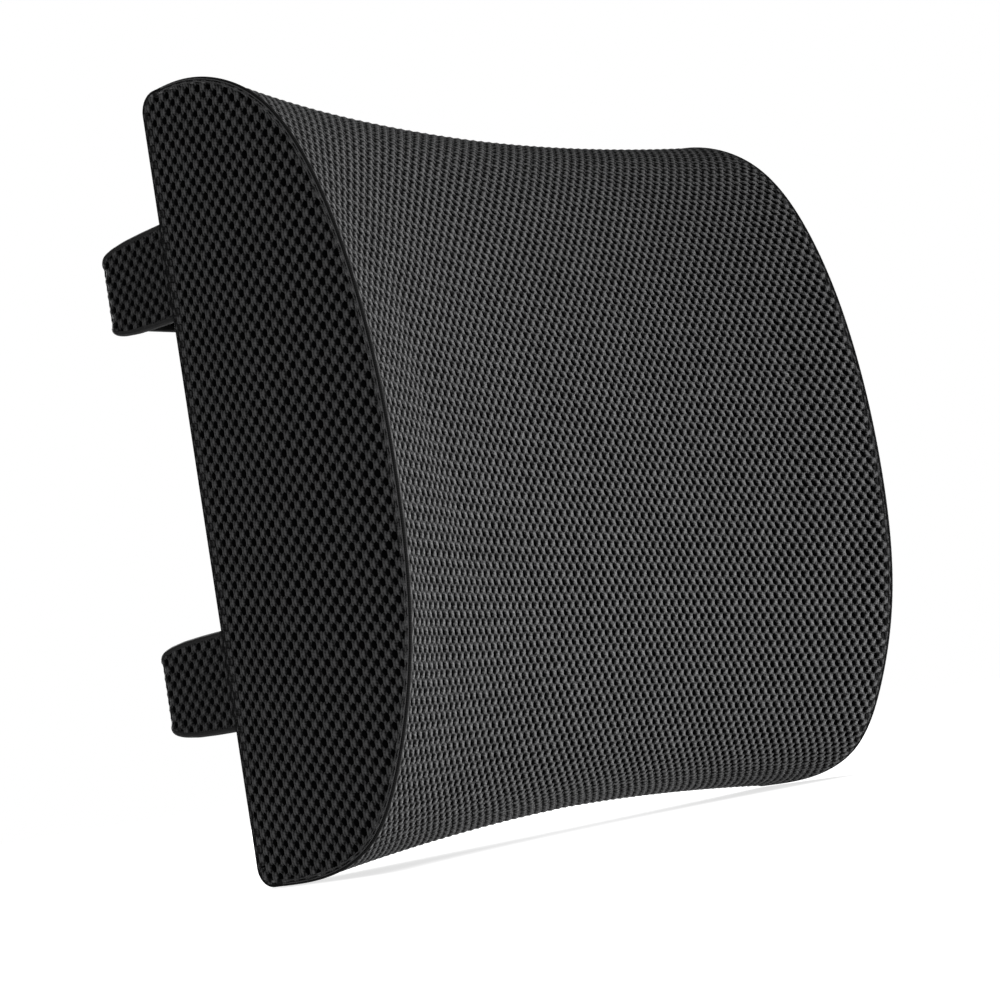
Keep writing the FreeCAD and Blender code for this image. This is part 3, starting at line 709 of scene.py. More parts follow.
def yarn_material(name, dark, light, knit, strand_share=0.3):
    """Knitted filament yarn: two strands in each bundle, crossing loops and uneven tone, with
    painted light: each bundle lighter in its middle as a highlight and darker towards the holes as
    shade.
    """
    material, tree, shader = new_material(name, 0.62, 0.04, 0.10)
    place = object_place(tree)
    cloth = cloth_place(tree)
    fibres = noise(tree, place, 1500, 4)
    patches = noise(tree, place, 38, 2)
    strands = ribs(tree, cloth, (1, 0), knit.across / 4)
    loops = ribs(tree, cloth, (0.35, 1), 0.0012)
    # The bundles' share of the tone is painted light: it colours each bundle's middle lighter as a
    # highlight and its edges towards the holes darker as shade; the same tone also drives the bump.
    tone = weighted_sum(tree, (fibres, 0.605), (bundles(tree, cloth, knit), 0.4125),
                        (strands, 0.55 * strand_share), (loops, 0.066))
    yarn = ramp(tree, tone, ((0.54, dark), (0.92, light)))
    worn = ramp(tree, patches, ((0.3, grey(0.96)), (0.7, grey(1.04))))
    tinted = node(tree, "ShaderNodeMix", data_type="RGBA", blend_type="MULTIPLY")
    tinted.inputs["Factor"].default_value = 1.0
    link(tree, yarn, tinted.inputs["A"])
    link(tree, worn, tinted.inputs["B"])
    link(tree, tinted.outputs["Result"], shader.inputs["Base Color"])
    rough = ramp(tree, fibres, ((0.3, grey(0.5)), (0.7, grey(0.8))))
    link(tree, rough, shader.inputs["Roughness"])
    bump(tree, tone, 0.0004, 0.9, shader)
    return material


def well_material(name):
    """Inner layer at the bottom of the knit's holes, laid on the holes' walls too: near black
    without shine, partly the layer's own black and partly painted shade in the holes.
    """
    material, tree, shader = new_material(name, 1.0, 0.0, 0.0)
    tone = noise(tree, object_place(tree), 1400, 3)
    # Near-black colour of the hole walls and floors: painted shade over the inner layer's own
    # black.
    shade = ramp(tree, tone, ((0.3, (0.0010, 0.0010, 0.0011)), (0.7, (0.0035, 0.0035, 0.0037))))
    link(tree, shade, shader.inputs["Base Color"])
    return material


def tape_material(name, dark, light, pitch, sheen=0.1, specular=0.35):
    """Close woven tape: warp ribs one way, finer weft across them."""
    material, tree, shader = new_material(name, 0.7, sheen, specular)
    cloth = cloth_place(tree)
    weave = math_node(tree, "MULTIPLY", ribs(tree, cloth, (1, 0), pitch),
                      ribs(tree, cloth, (0, 1), pitch * 1.3))
    fibres = noise(tree, object_place(tree), 2200, 4)
    tone = weighted_sum(tree, (weave, 0.55), (fibres, 0.5))
    link(tree, ramp(tree, tone, ((0.2, dark), (0.85, light))), shader.inputs["Base Color"])
    rough = ramp(tree, fibres, ((0.3, grey(0.55)), (0.7, grey(0.85))))
    link(tree, rough, shader.inputs["Roughness"])
    bump(tree, tone, 0.00018, 0.7, shader)
    return material


def grained_material(name, dark, light, roughness, grain, metallic=0.0, specular=0.5):
    """Moulded or lacquered finish: fine grain, soft wear and slightly uneven gloss."""
    material, tree, shader = new_material(name, roughness, 0.0, specular)
    shader.inputs["Metallic"].default_value = metallic
    place = object_place(tree)
    fine = noise(tree, place, grain, 5)
    broad = noise(tree, place, 90, 3)
    tone = weighted_sum(tree, (fine, 0.5), (broad, 0.5))
    link(tree, ramp(tree, tone, ((0.3, dark), (0.7, light))), shader.inputs["Base Color"])
    rough = ramp(tree, tone, ((0.3, grey(roughness - 0.1)), (0.7, grey(roughness + 0.12))))
    link(tree, rough, shader.inputs["Roughness"])
    bump(tree, fine, 0.00006, 0.5, shader)
    return material


def foam_material(name, dark, light, scale):
    """Open-cell foam or thin knitted liner, in a pale tone."""
    material, tree, shader = new_material(name, 0.9, 0.1, 0.2)
    cells = node(tree, "ShaderNodeTexVoronoi")
    cells.inputs["Scale"].default_value = scale
    link(tree, object_place(tree), cells.inputs["Vector"])
    tone = cells.outputs["Distance"]
    link(tree, ramp(tree, tone, ((0.1, dark), (0.6, light))), shader.inputs["Base Color"])
    bump(tree, tone, 0.0003, 0.6, shader)
    return material


MATERIALS = {
    # The mesh yarns are one black yarn in lit and shaded copies: the front's much lighter tones are
    # painted light where the lamps fall on it, and the ends, back and tabs are coloured darker as
    # painted shade.
    "front_mesh": yarn_material("front_mesh_yarn", (0.006, 0.006, 0.0062), (0.285, 0.285, 0.289),
                                FRONT_KNIT, 0.14),
    "side_mesh": yarn_material("side_mesh_yarn", (0.0015, 0.0015, 0.0016), (0.110, 0.110, 0.112),
                               SIDE_KNIT, 0.42),
    "back_mesh": yarn_material("back_mesh_yarn", (0.002, 0.002, 0.0021), (0.072, 0.072, 0.073),
                               BACK_KNIT),
    "tab_mesh": yarn_material("tab_mesh_yarn", (0.002, 0.002, 0.0021), (0.098, 0.098, 0.100),
                              TAB_KNIT),
    "well": well_material("knit_wells"),
    "binding": tape_material("seam_binding", (0.007, 0.007, 0.0072), (0.036, 0.036, 0.037), 0.0009,
                             0.03, 0.15),
    "side_binding": tape_material("side_edge", (0.004, 0.004, 0.0041), (0.030, 0.030, 0.0305),
                                  0.0009, 0.0, 0.08),
    "tab_binding": tape_material("tab_binding_weave", (0.005, 0.005, 0.0051),
                                 (0.025, 0.025, 0.0255), 0.0007),
    "webbing": tape_material("webbing_weave", (0.010, 0.010, 0.011), (0.034, 0.034, 0.036), 0.0008),
    "zip_tape": tape_material("zip_tape_weave", (0.012, 0.012, 0.013), (0.032, 0.032, 0.034),
                              0.0005),
    "thread": tape_material("sewing_thread", (0.040, 0.040, 0.041), (0.130, 0.130, 0.133), 0.0004),
    "dark_thread": tape_material("sewing_thread_dark", (0.022, 0.022, 0.0225),
                                 (0.075, 0.075, 0.077), 0.0004),
    "zip_teeth": grained_material("moulded_teeth", (0.018, 0.018, 0.019), (0.034, 0.034, 0.036),
                                  0.42, 900),
    "zip_metal": grained_material("black_lacquer", (0.022, 0.022, 0.023), (0.045, 0.045, 0.047),
                                  0.3, 700, metallic=0.6),
    "buckle_plastic": grained_material("acetal_grain", (0.006, 0.006, 0.0065),
                                       (0.015, 0.015, 0.016), 0.42, 1400, specular=0.35),
    "foam": foam_material("slow_foam", (0.62, 0.58, 0.46), (0.86, 0.82, 0.70), 420),
    "liner": foam_material("thin_liner", (0.58, 0.58, 0.57), (0.80, 0.80, 0.78), 1400),
}


# ---------------------------------------------------------------- padded cover

# Cells of the coarse cushion across, round the front, down the back and in from each end's rim,
# the greatest swell of the front and of an end, and how long the pressure acts.
CAGE_ACROSS = 34
CAGE_ROUND = 60
CAGE_BACK = 24
CAGE_RINGS = 6
FRONT_SWELL = 0.0012
SIDE_SWELL = 0.0026
PRESS_FRAMES = 20


def end_loop(count_round, count_back):
    """Closed outline of the cushion's end as (y, z): round the front, then down the back."""
    s = np.linspace(0, WRAP_LENGTH, count_round + 1)
    curve = wrap_point(np.full(len(s), HALF_WIDTH), s)[:, 1:]
    down = np.linspace(0, 1, count_back + 1)[1:-1, None]
    back = curve[-1] + (curve[0] - curve[-1]) * down
    return np.concatenate([curve, back])


LOOP_CENTRE = np.array((-0.046, 0.0))


def end_rings(sign, rim, loop, first):
    """Rings of one end, from its rim to its middle: new points, quads, triangles and rings."""
    centre = np.array((sign * HALF_WIDTH, *LOOP_CENTRE))
    shares = 1 - np.arange(1, CAGE_RINGS) / CAGE_RINGS
    inner = centre + (loop - centre) * shares[:, None, None]
    middle = first + shares.size * rim.size
    rings = np.concatenate([rim[None], np.arange(first, middle).reshape(-1, rim.size)])
    ahead = np.roll(rings, -1, axis=1)
    quads = np.stack([rings[:-1], ahead[:-1], ahead[1:], rings[1:]], axis=2).reshape(-1, 4)
    fan = np.stack([rings[-1], ahead[-1], np.full(rim.size, middle)], axis=1)
    if sign > 0:
        quads, fan = quads[:, ::-1], fan[:, ::-1]
    return np.concatenate([inner.reshape(-1, 3), centre[None]]), quads, fan, (rings, middle)


def swell_cage():
    """Coarse closed form of the cushion: front grid, back grid and two ends."""
    x = np.linspace(-HALF_WIDTH, HALF_WIDTH, CAGE_ACROSS + 1)
    s = np.linspace(0, WRAP_LENGTH, CAGE_ROUND + 1)
    gx, gs = np.meshgrid(x, s, indexing="ij")
    front = wrap_point(gx.ravel(), gs.ravel())
    front_ids = np.arange(len(front)).reshape(CAGE_ACROSS + 1, CAGE_ROUND + 1)
    down = np.linspace(0, 1, CAGE_BACK + 1)[1:-1]
    top = front[front_ids[:, -1]]
    bottom = front[front_ids[:, 0]]
    back = (top[:, None, :] + (bottom - top)[:, None, :] * down[None, :, None]).reshape(-1, 3)
    back_ids = len(front) + np.arange(len(back)).reshape(CAGE_ACROSS + 1, CAGE_BACK - 1)
    around = np.concatenate([front_ids, back_ids], axis=1)
    ahead = np.roll(around, -1, axis=1)
    cells = [np.stack([around[:-1], around[1:], ahead[1:], ahead[:-1]], axis=2).reshape(-1, 4)]
    points = np.concatenate([front, back])
    fans = []
    ends = []
    for column, sign in ((0, -1), (-1, 1)):
        rim = around[column]
        more, quads, fan, end = end_rings(sign, rim, points[rim], len(points))
        points = np.concatenate([points, more])
        cells.append(quads)
        fans.append(fan)
        ends.append(end)
    held = np.unique(np.concatenate([back_ids.ravel(), around[0], around[-1],
                                     front_ids[:, 0], front_ids[:, -1]]))
    return points, cells + fans, front_ids, ends, held


def press_outwards(cage, held):
    """Gives the cage a cloth modifier under pressure, and runs it to its last frame."""
    group = cage.vertex_groups.new(name="held")
    group.add(held.tolist(), 1.0, "REPLACE")
    cloth = cage.modifiers.new("Cloth", "CLOTH")
    settings = cloth.settings
    settings.vertex_group_mass = "held"
    settings.mass = 0.3
    settings.tension_stiffness = 40
    settings.compression_stiffness = 40
    settings.shear_stiffness = 20
    settings.bending_stiffness = 4
    settings.use_pressure = True
    settings.uniform_pressure_force = 4
    settings.effector_weights.gravity = 0
    for step in range(1, PRESS_FRAMES + 1):
        bpy.context.scene.frame_set(step)


def swollen_cage():
    """How far the foam presses each part of the cover outwards, as a cloth under pressure."""
    points, faces, front_ids, ends, held = swell_cage()
    moved = np.zeros_like(points)
    cage = new_piece("swell_cage", points, faces, body=None)
    press_outwards(cage, held)
    shaped = cage.evaluated_get(bpy.context.evaluated_depsgraph_get()).data
    moved = np.array([v.co for v in shaped.vertices]) - points
    bpy.context.scene.frame_set(1)
    mesh = cage.data
    bpy.data.objects.remove(cage)
    bpy.data.meshes.remove(mesh)
    return moved, front_ids, ends


def capped(moved, cap):
    """Movements scaled so that the greatest is the cap."""
    greatest = np.linalg.norm(moved.reshape(-1, 3), axis=1).max()
    return moved * (cap / greatest) if greatest > 1e-9 else moved


def grid_sample(grid, first, second):
    """Reads a grid of vectors at fractional row and column numbers."""
    i = np.clip(first.astype(int), 0, grid.shape[0] - 2)
    j = np.clip(second.astype(int), 0, grid.shape[1] - 2)
    a = (first - i)[:, None]
    b = (second - j)[:, None]
    return ((1 - a) * (1 - b) * grid[i, j] + a * (1 - b) * grid[i + 1, j]
            + (1 - a) * b * grid[i, j + 1] + a * b * grid[i + 1, j + 1])


MOVED, FRONT_IDS, END_RINGS = swollen_cage()
FRONT_MOVED = capped(MOVED[FRONT_IDS], FRONT_SWELL)

# Left of this place across the front, its columns of knit draw together, at this rate per metre.
CLOSE_START = -0.05
CLOSE_RATE = 1.5


def cloth_to_width(u):
    """Place across the cushion, from the place across the front cloth."""
    return u + CLOSE_RATE / 2 * np.minimum(u - CLOSE_START, 0) ** 2


def width_to_cloth(x):
    """Place across the front cloth, from a place across the cushion's left part."""
    return CLOSE_START - (1 - math.sqrt(1 - 2 * CLOSE_RATE * (CLOSE_START - x))) / CLOSE_RATE


def front_relief(flat):
    first = (cloth_to_width(flat[:, 0]) + HALF_WIDTH) / (2 * HALF_WIDTH) * CAGE_ACROSS
    second = flat[:, 1] / WRAP_LENGTH * CAGE_ROUND
    return grid_sample(FRONT_MOVED, np.clip(first, 0, CAGE_ACROSS),
                       np.clip(second, 0, CAGE_ROUND))


def side_crown(sign):
    """Outward swell of one end panel at flat places (forward, up)."""
    rings, middle = END_RINGS[0 if sign < 0 else 1]
    table = np.stack([*MOVED[rings], np.tile(MOVED[middle], (len(rings[0]), 1))])
    table = capped(table, SIDE_SWELL)
    loop = end_loop(CAGE_ROUND, CAGE_BACK) - LOOP_CENTRE
    angle = np.mod(np.arctan2(loop[:, 1], loop[:, 0]), 2 * math.pi)
    order = np.argsort(angle)
    order = np.concatenate([order[-1:], order, order[:1]])
    turn = angle[order]
    turn[0] -= 2 * math.pi
    turn[-1] += 2 * math.pi
    reach = np.linalg.norm(loop, axis=1)[order]
    values = table[:, order]

    def relief(flat):
        step = np.stack([-flat[:, 0], flat[:, 1]], axis=1) - LOOP_CENTRE
        at = np.mod(np.arctan2(step[:, 1], step[:, 0]), 2 * math.pi)
        share = np.linalg.norm(step, axis=1) / np.interp(at, turn, reach)
        place = np.interp(at, turn, np.arange(len(turn)))
        moved = grid_sample(values, np.clip(1 - share, 0, 1) * CAGE_RINGS, place)
        moved[:, 1:] = 0
        return moved

    return relief


# Width of the cover that a seam takes up, how far a sheet reaches in under it, and how far the
# flat sheets lie inside the cushion's faces.
SEAM_BAND = 0.0012
SEAM_LAP = 0.0006
SHEET_SINK = 0.0001


def front_surface(flat):
    return wrap_point(cloth_to_width(flat[:, 0]), np.clip(flat[:, 1], 0, WRAP_LENGTH))


def make_front():
    """Cover over the top, the front and the underside, in one sheet."""
    low = (width_to_cloth(-HALF_WIDTH + SEAM_BAND - SEAM_LAP), SEAM_LAP)
    high = (HALF_WIDTH - SEAM_BAND + SEAM_LAP, WRAP_LENGTH - SEAM_LAP)
    piece = knit_sheet("front_cover", FRONT_KNIT, low, high, box_clamp(low, high),
                       front_surface, 1, MATERIALS["front_mesh"],
                       relief=front_relief)
    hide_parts("front_panel")


def outward_in_plane(loop):
    """Unit outward normals of a closed loop of (y, z) points."""
    ahead = np.roll(loop, -1, axis=0) - np.roll(loop, 1, axis=0)
    normal = unit(np.stack([ahead[:, 1], -ahead[:, 0]], axis=1))
    centre = loop.mean(axis=0)
    if ((loop - centre) * normal).sum() < 0:
        normal = -normal
    return normal


# The end seam: its size against SEAM_SECTION, how far it covers the side panel, the pitch of
# its stitches, and the depths below the front at which its two threads run.
SEAM_SIZE = 0.62
SEAM_COVER = 0.0016
SEAM_PITCH = 0.0026
THREAD_DEPTHS = {"outer": 0.0010, "inner": 0.0021}


def seam_scale(loop):
    """Size of the end seam: full round the front, narrower down the straight back edge."""
    return SEAM_SIZE * (1 - 0.4 * smooth_step(loop[:, 0], -0.012, -0.001))


def puckered(path):
    """Slight narrowing of a seam where each stitch pulls it in."""
    return 1 - 0.10 * np.abs(np.cos(math.pi * distances(path) / SEAM_PITCH)) ** 6


def make_side(name, sign):
    """Cover of one end, inside its seam."""
    loop = end_loop(260, 60)
    inset = loop - outward_in_plane(loop) * (SEAM_COVER * seam_scale(loop))[:, None]
    border = np.stack([-inset[:, 0], inset[:, 1]], axis=1)
    plane = sign * (HALF_WIDTH - SHEET_SINK)

    def surface(flat):
        return np.stack([np.full(len(flat), plane), -flat[:, 0], flat[:, 1]], axis=1)

    piece = knit_sheet(f"{name}_side_cover", SIDE_KNIT, border.min(axis=0), border.max(axis=0),
                       polygon_clamp(border), surface, -sign, MATERIALS["side_mesh"],
                       relief=side_crown(sign))
    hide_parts(f"{name}_side_panel")


# Section of the rolled end seam: (outwards from the end, outwards from the front), metres.
SEAM_SECTION = np.array((
    (-2.1, -1.2), (-2.0, -0.3), (-1.7, 0.02), (-1.3, 0.06), (-0.95, -0.04), (-0.7, -0.25),
    (-0.5, -0.62), (-0.42, -1.05), (-0.50, -1.45), (-0.18, -1.30), (0.10, -1.45),
    (0.14, -1.75), (0.0, -2.1), (-0.35, -2.3), (-1.4, -2.3), (-2.4, -2.0),
)) * MM
# The section's first side on the side panel's dark edge, and how far forward the threads begin.
SIDE_EDGE_START = 6
THREAD_START = -0.014


def constant(vector, count):
    """The same vector for every point of a path."""
    return np.tile(np.asarray(vector, dtype=float), (count, 1))


def make_end_seam(name, sign):
    """Rolled seam round one end: front strip, sunk groove and side edge with two threads."""
    loop = end_loop(1100, 240)
    normal = outward_in_plane(loop)
    path = np.stack([np.full(len(loop), sign * HALF_WIDTH), loop[:, 0], loop[:, 1]], axis=1)
    up = np.stack([np.zeros(len(loop)), normal[:, 0], normal[:, 1]], axis=1)
    across = constant((sign, 0, 0), len(loop))
    seam = sweep(f"{name}_end_seam", path, across, up, SEAM_SECTION, MATERIALS["binding"],
                 loop=True, scale=seam_scale(loop) * puckered(path),
                 second=MATERIALS["side_binding"], switch=SIDE_EDGE_START)
    curved = np.flatnonzero(loop[:, 0] < THREAD_START)
    run = slice(curved[0], curved[-1] + 1)
    for label, depth in THREAD_DEPTHS.items():
        line = path - up * depth + across * 0.00005
        stitch_line(f"{name}_end_thread_{label}", line[run], up[run], across[run],
                    MATERIALS["thread"], 0.00022, SEAM_PITCH)


# Gap between a back sheet and its panel's upper and lower edges.
BACK_GAP = 0.0004


def back_surface(flat):
    """Flat back: x across and z up, drawn out to its curved upper and lower edges."""
    low, high = back_edges(flat[:, 0])
    low = low + BACK_RADIUS
    high = high - BACK_RADIUS
    z = flat[:, 1]
    bottom, top = BASE + BACK_RADIUS, BASE + HEIGHT - BACK_RADIUS
    strip_top = ZIP_HEIGHT - ZIP_OPENING
    shift = np.where(z > 0, (high - top) * np.clip(z / top, 0, 1),
                     (low - bottom) * np.clip((z - strip_top) / (bottom - strip_top), 0, 1))
    return np.stack([flat[:, 0], np.full(len(z), -SHEET_SINK), z + shift], axis=1)


def make_back():
    """Covers of the flat back, above and below the zip."""
    side = HALF_WIDTH - SEAM_BAND + SEAM_LAP
    bottom, top = BASE + BACK_RADIUS, BASE + HEIGHT - BACK_RADIUS
    spans = {
        "back_cover": ("back_panel", ZIP_HEIGHT + ZIP_OPENING, top),
        "lower_back_cover": ("back_lower_strip", bottom, ZIP_HEIGHT - ZIP_OPENING),
    }
    for name, (replaced, start, end) in spans.items():
        low = (-side, start + BACK_GAP)
        high = (side, end - BACK_GAP)
        piece = knit_sheet(name, BACK_KNIT, low, high, box_clamp(low, high), back_surface, -1,
                           MATERIALS["back_mesh"])
        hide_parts(replaced)


def cross_path(edge, count=160):
    """Path across the back along one of its edges: 'top', 'bottom' or a height."""
    x = np.linspace(-HALF_WIDTH + 0.003, HALF_WIDTH - 0.003, count)
    low, high = back_edges(x)
    if edge == "top":
        z = high - BACK_RADIUS
    elif edge == "bottom":
        z = low + BACK_RADIUS
    else:
        z = np.full(count, float(edge))
    return np.stack([x, np.zeros(count), z], axis=1)


ROLL_SECTION = np.array((
    (-2.4, -0.9), (-2.2, 0.02), (-1.4, 0.16), (-0.6, 0.02), (0.0, -0.55), (0.6, 0.02),
    (1.4, 0.16), (2.2, 0.02), (2.4, -0.9), (0.0, -1.6),
)) * MM
HEM_SECTION = np.array((
    (0.0, -1.3), (0.0, -0.3), (0.35, 0.12), (1.0, 0.22), (4.2, 0.22), (4.9, 0.1), (5.1, -0.4),
    (5.1, -1.3),
)) * MM
UNDERLAP_SECTION = np.array(((-8.0, -3.26), (-8.0, -3.12), (8.0, -3.12), (8.0, -3.26))) * MM


def make_back_seams():
    """Rolled seams along the back's upper and lower edges, with two threads each."""
    for edge in ("top", "bottom"):
        path = cross_path(edge)
        up = constant((0, 1, 0), len(path))
        across = constant((0, 0, 1), len(path))
        sweep(f"back_{edge}_seam", path, across, up, ROLL_SECTION, MATERIALS["binding"])
        for label, shift in (("front", 0.0014), ("back", -0.0014)):
            line = path + across * (shift if edge == "top" else -shift) + up * 0.00012
            stitch_line(f"back_{edge}_thread_{label}", line, across, up,
                        MATERIALS["dark_thread"])


def make_zip_hems():
    """Folded hems beside the zip, and the flap of tape under it."""
    for label, height, sign in (("upper", ZIP_HEIGHT + ZIP_OPENING - 0.001, 1),
                                ("lower", ZIP_HEIGHT - ZIP_OPENING + 0.001, -1)):
        path = cross_path(height)
        up = constant((0, 1, 0), len(path))
        across = constant((0, 0, sign), len(path))
        sweep(f"zip_hem_{label}", path, across, up, HEM_SECTION, MATERIALS["binding"])
        line = path + across * 0.0034 + up * 0.00026
        stitch_line(f"zip_hem_thread_{label}", line, across, up, MATERIALS["dark_thread"])
    path = cross_path(ZIP_HEIGHT)
    sweep("zip_underlap", path, constant((0, 0, 1), len(path)), constant((0, 1, 0), len(path)),
          UNDERLAP_SECTION, MATERIALS["zip_tape"])


# ---------------------------------------------------------------- straps

# Half height of a tab at places along it: wide at the root, narrow where it meets the webbing.
TAB_STATIONS = (0, 0.012, 0.024, 0.033, 0.038, 0.042, 0.046, 0.12)
TAB_HALVES = (0.021, 0.0208, 0.0203, 0.0192, 0.0178, 0.0158, 0.014, 0.014)


def tab_half(s):
    """Half height of a tab at each place along it, rounded in towards the band."""
    fine = np.linspace(0, 0.12, 241)
    rough = np.interp(fine, TAB_STATIONS, TAB_HALVES)
    kernel = np.hanning(15)
    padded = np.pad(rough, 7, mode="edge")
    smooth = np.convolve(padded, kernel / kernel.sum(), mode="valid")
    return np.interp(s, fine, smooth)


TAB_ROOT = 0.0002
TAB_CORNER = 0.0035
TAB_STRAIGHT = TAB_REACH - TAB_BEND - TAB_ROOT
TAB_ARC = TAB_BEND * math.pi / 2
TAB_LENGTH = TAB_STRAIGHT + TAB_ARC + HALF_WIDTH - TAB_BEND - TAB_END


def tab_outer(s, sign):
    """Outer face of a tab in plan, straight back from the edge and then inwards: x, y."""
    turn = np.clip((s - TAB_STRAIGHT) / TAB_BEND, 0, math.pi / 2)
    y = TAB_ROOT + np.minimum(s, TAB_STRAIGHT) + TAB_BEND * np.sin(turn)
    x = HALF_WIDTH - TAB_BEND * (1 - np.cos(turn)) - np.maximum(s - TAB_STRAIGHT - TAB_ARC, 0)
    return sign * x, y


def tab_clamp():
    low, high = 0.0, TAB_LENGTH - 0.0012

    def clamp(flat):
        s = np.clip(flat[:, 0], low, high)
        half = tab_half(s) - 0.0011
        v = np.clip(flat[:, 1], -half, half)
        room = np.minimum(np.minimum(flat[:, 0] - low, high - flat[:, 0]),
                          half - np.abs(flat[:, 1]))
        return np.stack([s, v], axis=1), room

    return clamp


def make_tab(name, height, hand, sign):
    """Mesh tab that joins a strap's webbing to one edge of the back."""
    def surface(flat):
        x, y = tab_outer(flat[:, 0], sign)
        return np.stack([x, y, height + flat[:, 1]], axis=1)

    # The cloth runs along the strip, so which way it faces depends on the hand.
    piece = knit_sheet(f"{name}_{hand}_tab_mesh", TAB_KNIT, (0, -0.022), (TAB_LENGTH, 0.022),
                       tab_clamp(), surface, sign, MATERIALS["tab_mesh"],
                       both_faces=True)
    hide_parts(f"{name}_{hand}_tab")


def bind_tab(name, height, hand, sign):
    """Binding round a tab: out along its upper edge, over its end and back."""
    s = np.linspace(0.0, TAB_LENGTH, 120)
    end = np.clip((s - (TAB_LENGTH - TAB_CORNER)) / TAB_CORNER, 0, 1)
    half = tab_half(s) - TAB_CORNER * (1 - np.sqrt(np.maximum(1 - end ** 2, 0)))
    x, y = tab_outer(s, sign)
    inward = tab_inward(s, sign)
    upper, lower = (np.stack([x, y, height + side * half], axis=1) for side in (1, -1))
    inward = np.concatenate([inward, inward[::-1]])
    path = np.concatenate([upper, lower[::-1]]) + inward * TAB_THICKNESS / 2
    path, inward = spaced(path, [inward], 0.001)[:2]
    out = unit(np.cross(unit(np.gradient(path, axis=0)), inward))
    middle = np.array((path[:, 0].mean(), path[:, 1].mean(), height))
    out = np.where(((path - middle) * out)[:, 2:] < 0, -out, out)
    sweep(f"{name}_{hand}_tab_binding", path, steady(out), inward, tab_binding_section(),
          MATERIALS["tab_binding"])


def steady(vectors):
    """Vectors turned so that each points the same way as the one before it."""
    result = vectors.copy()
    for k in range(1, len(result)):
        if result[k] @ result[k - 1] < 0:
            result[k] = -result[k]
    return result


def tab_inward(s, sign):
    """Unit direction from a tab's outer face into its thickness."""
    turn = np.clip((s - TAB_STRAIGHT) / TAB_BEND, 0, math.pi / 2)
    return np.stack([-sign * np.cos(turn), -np.sin(turn), np.zeros_like(s)], axis=1)


def tab_binding_section():
    """Rounded binding that folds over a tab's edge: (outwards, through the thickness)."""
    turn = np.linspace(-math.pi / 2, math.pi / 2, 9)
    nose = np.stack([-0.0012 + 0.0012 * np.cos(turn), 0.00155 * np.sin(turn)], axis=1)
    return np.concatenate([nose, ((-0.0019, 0.00158), (-0.0023, 0.0011), (-0.0023, -0.0011),
                                  (-0.0019, -0.00158))])


def webbing_path(bar, sewn, tail):
    """Centre line of webbing in plan: from the tab to the bar, round it and back."""
    facing = -1 if bar < sewn else 1
    first = np.linspace(sewn, bar, 140)
    turn = np.linspace(0, math.pi, 24)[1:-1]
    second = np.linspace(bar, tail, 100)
    x = np.concatenate([first, bar + facing * LAYER_RADIUS * np.sin(turn), second])
    y = np.concatenate([np.full(len(first), BAND_DEPTH - LAYER_RADIUS),
                        BAND_DEPTH - LAYER_RADIUS * np.cos(turn),
                        np.full(len(second), BAND_DEPTH + LAYER_RADIUS)])
    return np.stack([x, y], axis=1)


def webbing_section():
    """Ribbed flat section: (across the width, through the thickness)."""
    half = WEBBING_WIDTH / 2
    v = np.linspace(-half + 0.0004, half - 0.0004, 57)
    rib = 0.00010 * np.cos(2 * math.pi * v / 0.0018)
    edge = np.minimum((half - np.abs(v)) / 0.0009, 1) ** 0.5
    thick = (WEBBING_THICKNESS / 2 - 0.00012 + rib) * edge
    upper = np.stack([v, thick], axis=1)
    return np.concatenate([upper, [(half, 0.0)], (upper * (1, -1))[::-1], [(-half, 0.0)]])


def make_webbing(name, hand, height, bar, sewn, tail, body):
    """Webbing from its sewn end on the tab, round a bar and back to its tail."""
    path = np.insert(webbing_path(bar, sewn, tail), 2, height, axis=1)
    ahead = unit(np.gradient(path, axis=0))
    across = constant((0, 0, 1), len(path))
    up = np.cross(ahead, across)
    path, across, up, at = spaced(path, [across, up], 0.0009)
    weft = 0.00005 * np.cos(2 * math.pi * at / 0.0018)
    strip = sweep(f"{name}_{hand}_webbing_weave", path, across, up, webbing_section(),
                  MATERIALS["webbing"], body=body, lift=weft)
    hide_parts(f"{name}_{hand}_webbing")
    return strip


# Place and size of the stitched box that holds each webbing on its tab.
BOX_PLACE = 0.123
BOX_LENGTH = 0.018
BOX_TALL = 0.019


def box_path(centre_x, height, depth):
    """Corners of a box with a cross in it, as one running line of stitches."""
    left, right = centre_x - BOX_LENGTH / 2, centre_x + BOX_LENGTH / 2
    low, high = height - BOX_TALL / 2, height + BOX_TALL / 2
    corners = ((left, low), (right, low), (right, high), (left, high), (left, low),
               (right, high), (right, low), (left, high))
    return np.array([(x, depth, z) for x, z in corners])


def make_box_stitches(name, height):
    """Stitching that holds a strap's two lengths of webbing on their tabs."""
    depth = BAND_DEPTH - LAYER_RADIUS + WEBBING_THICKNESS / 2
    for hand, sign in (("left", -1), ("right", 1)):
        corners = box_path(sign * BOX_PLACE, height, depth)
        rows = []
        for start, end in zip(corners, corners[1:]):
            steps = max(int(np.linalg.norm(end - start) / 0.0003), 2)
            rows.append(start + (end - start) * np.linspace(0, 1, steps, endpoint=False)[:, None])
        path = np.concatenate(rows + [corners[-1:]])
        up = constant((0, 1, 0), len(path))
        across = unit(np.cross(unit(np.gradient(path, axis=0)), up))
        stitch_line(f"{name}_{hand}_box_stitching", path, across, up,
                                  MATERIALS["dark_thread"], 0.0003, 0.0028)
    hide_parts(f"{name}_box_stitches")


# Places along the band, in metres: the bar each webbing turns round, and its tail's end.
SOCKET_BAR, SOCKET_TAIL = -0.0384, -0.066
PLUG_BAR, PLUG_TAIL = 0.0158, 0.112


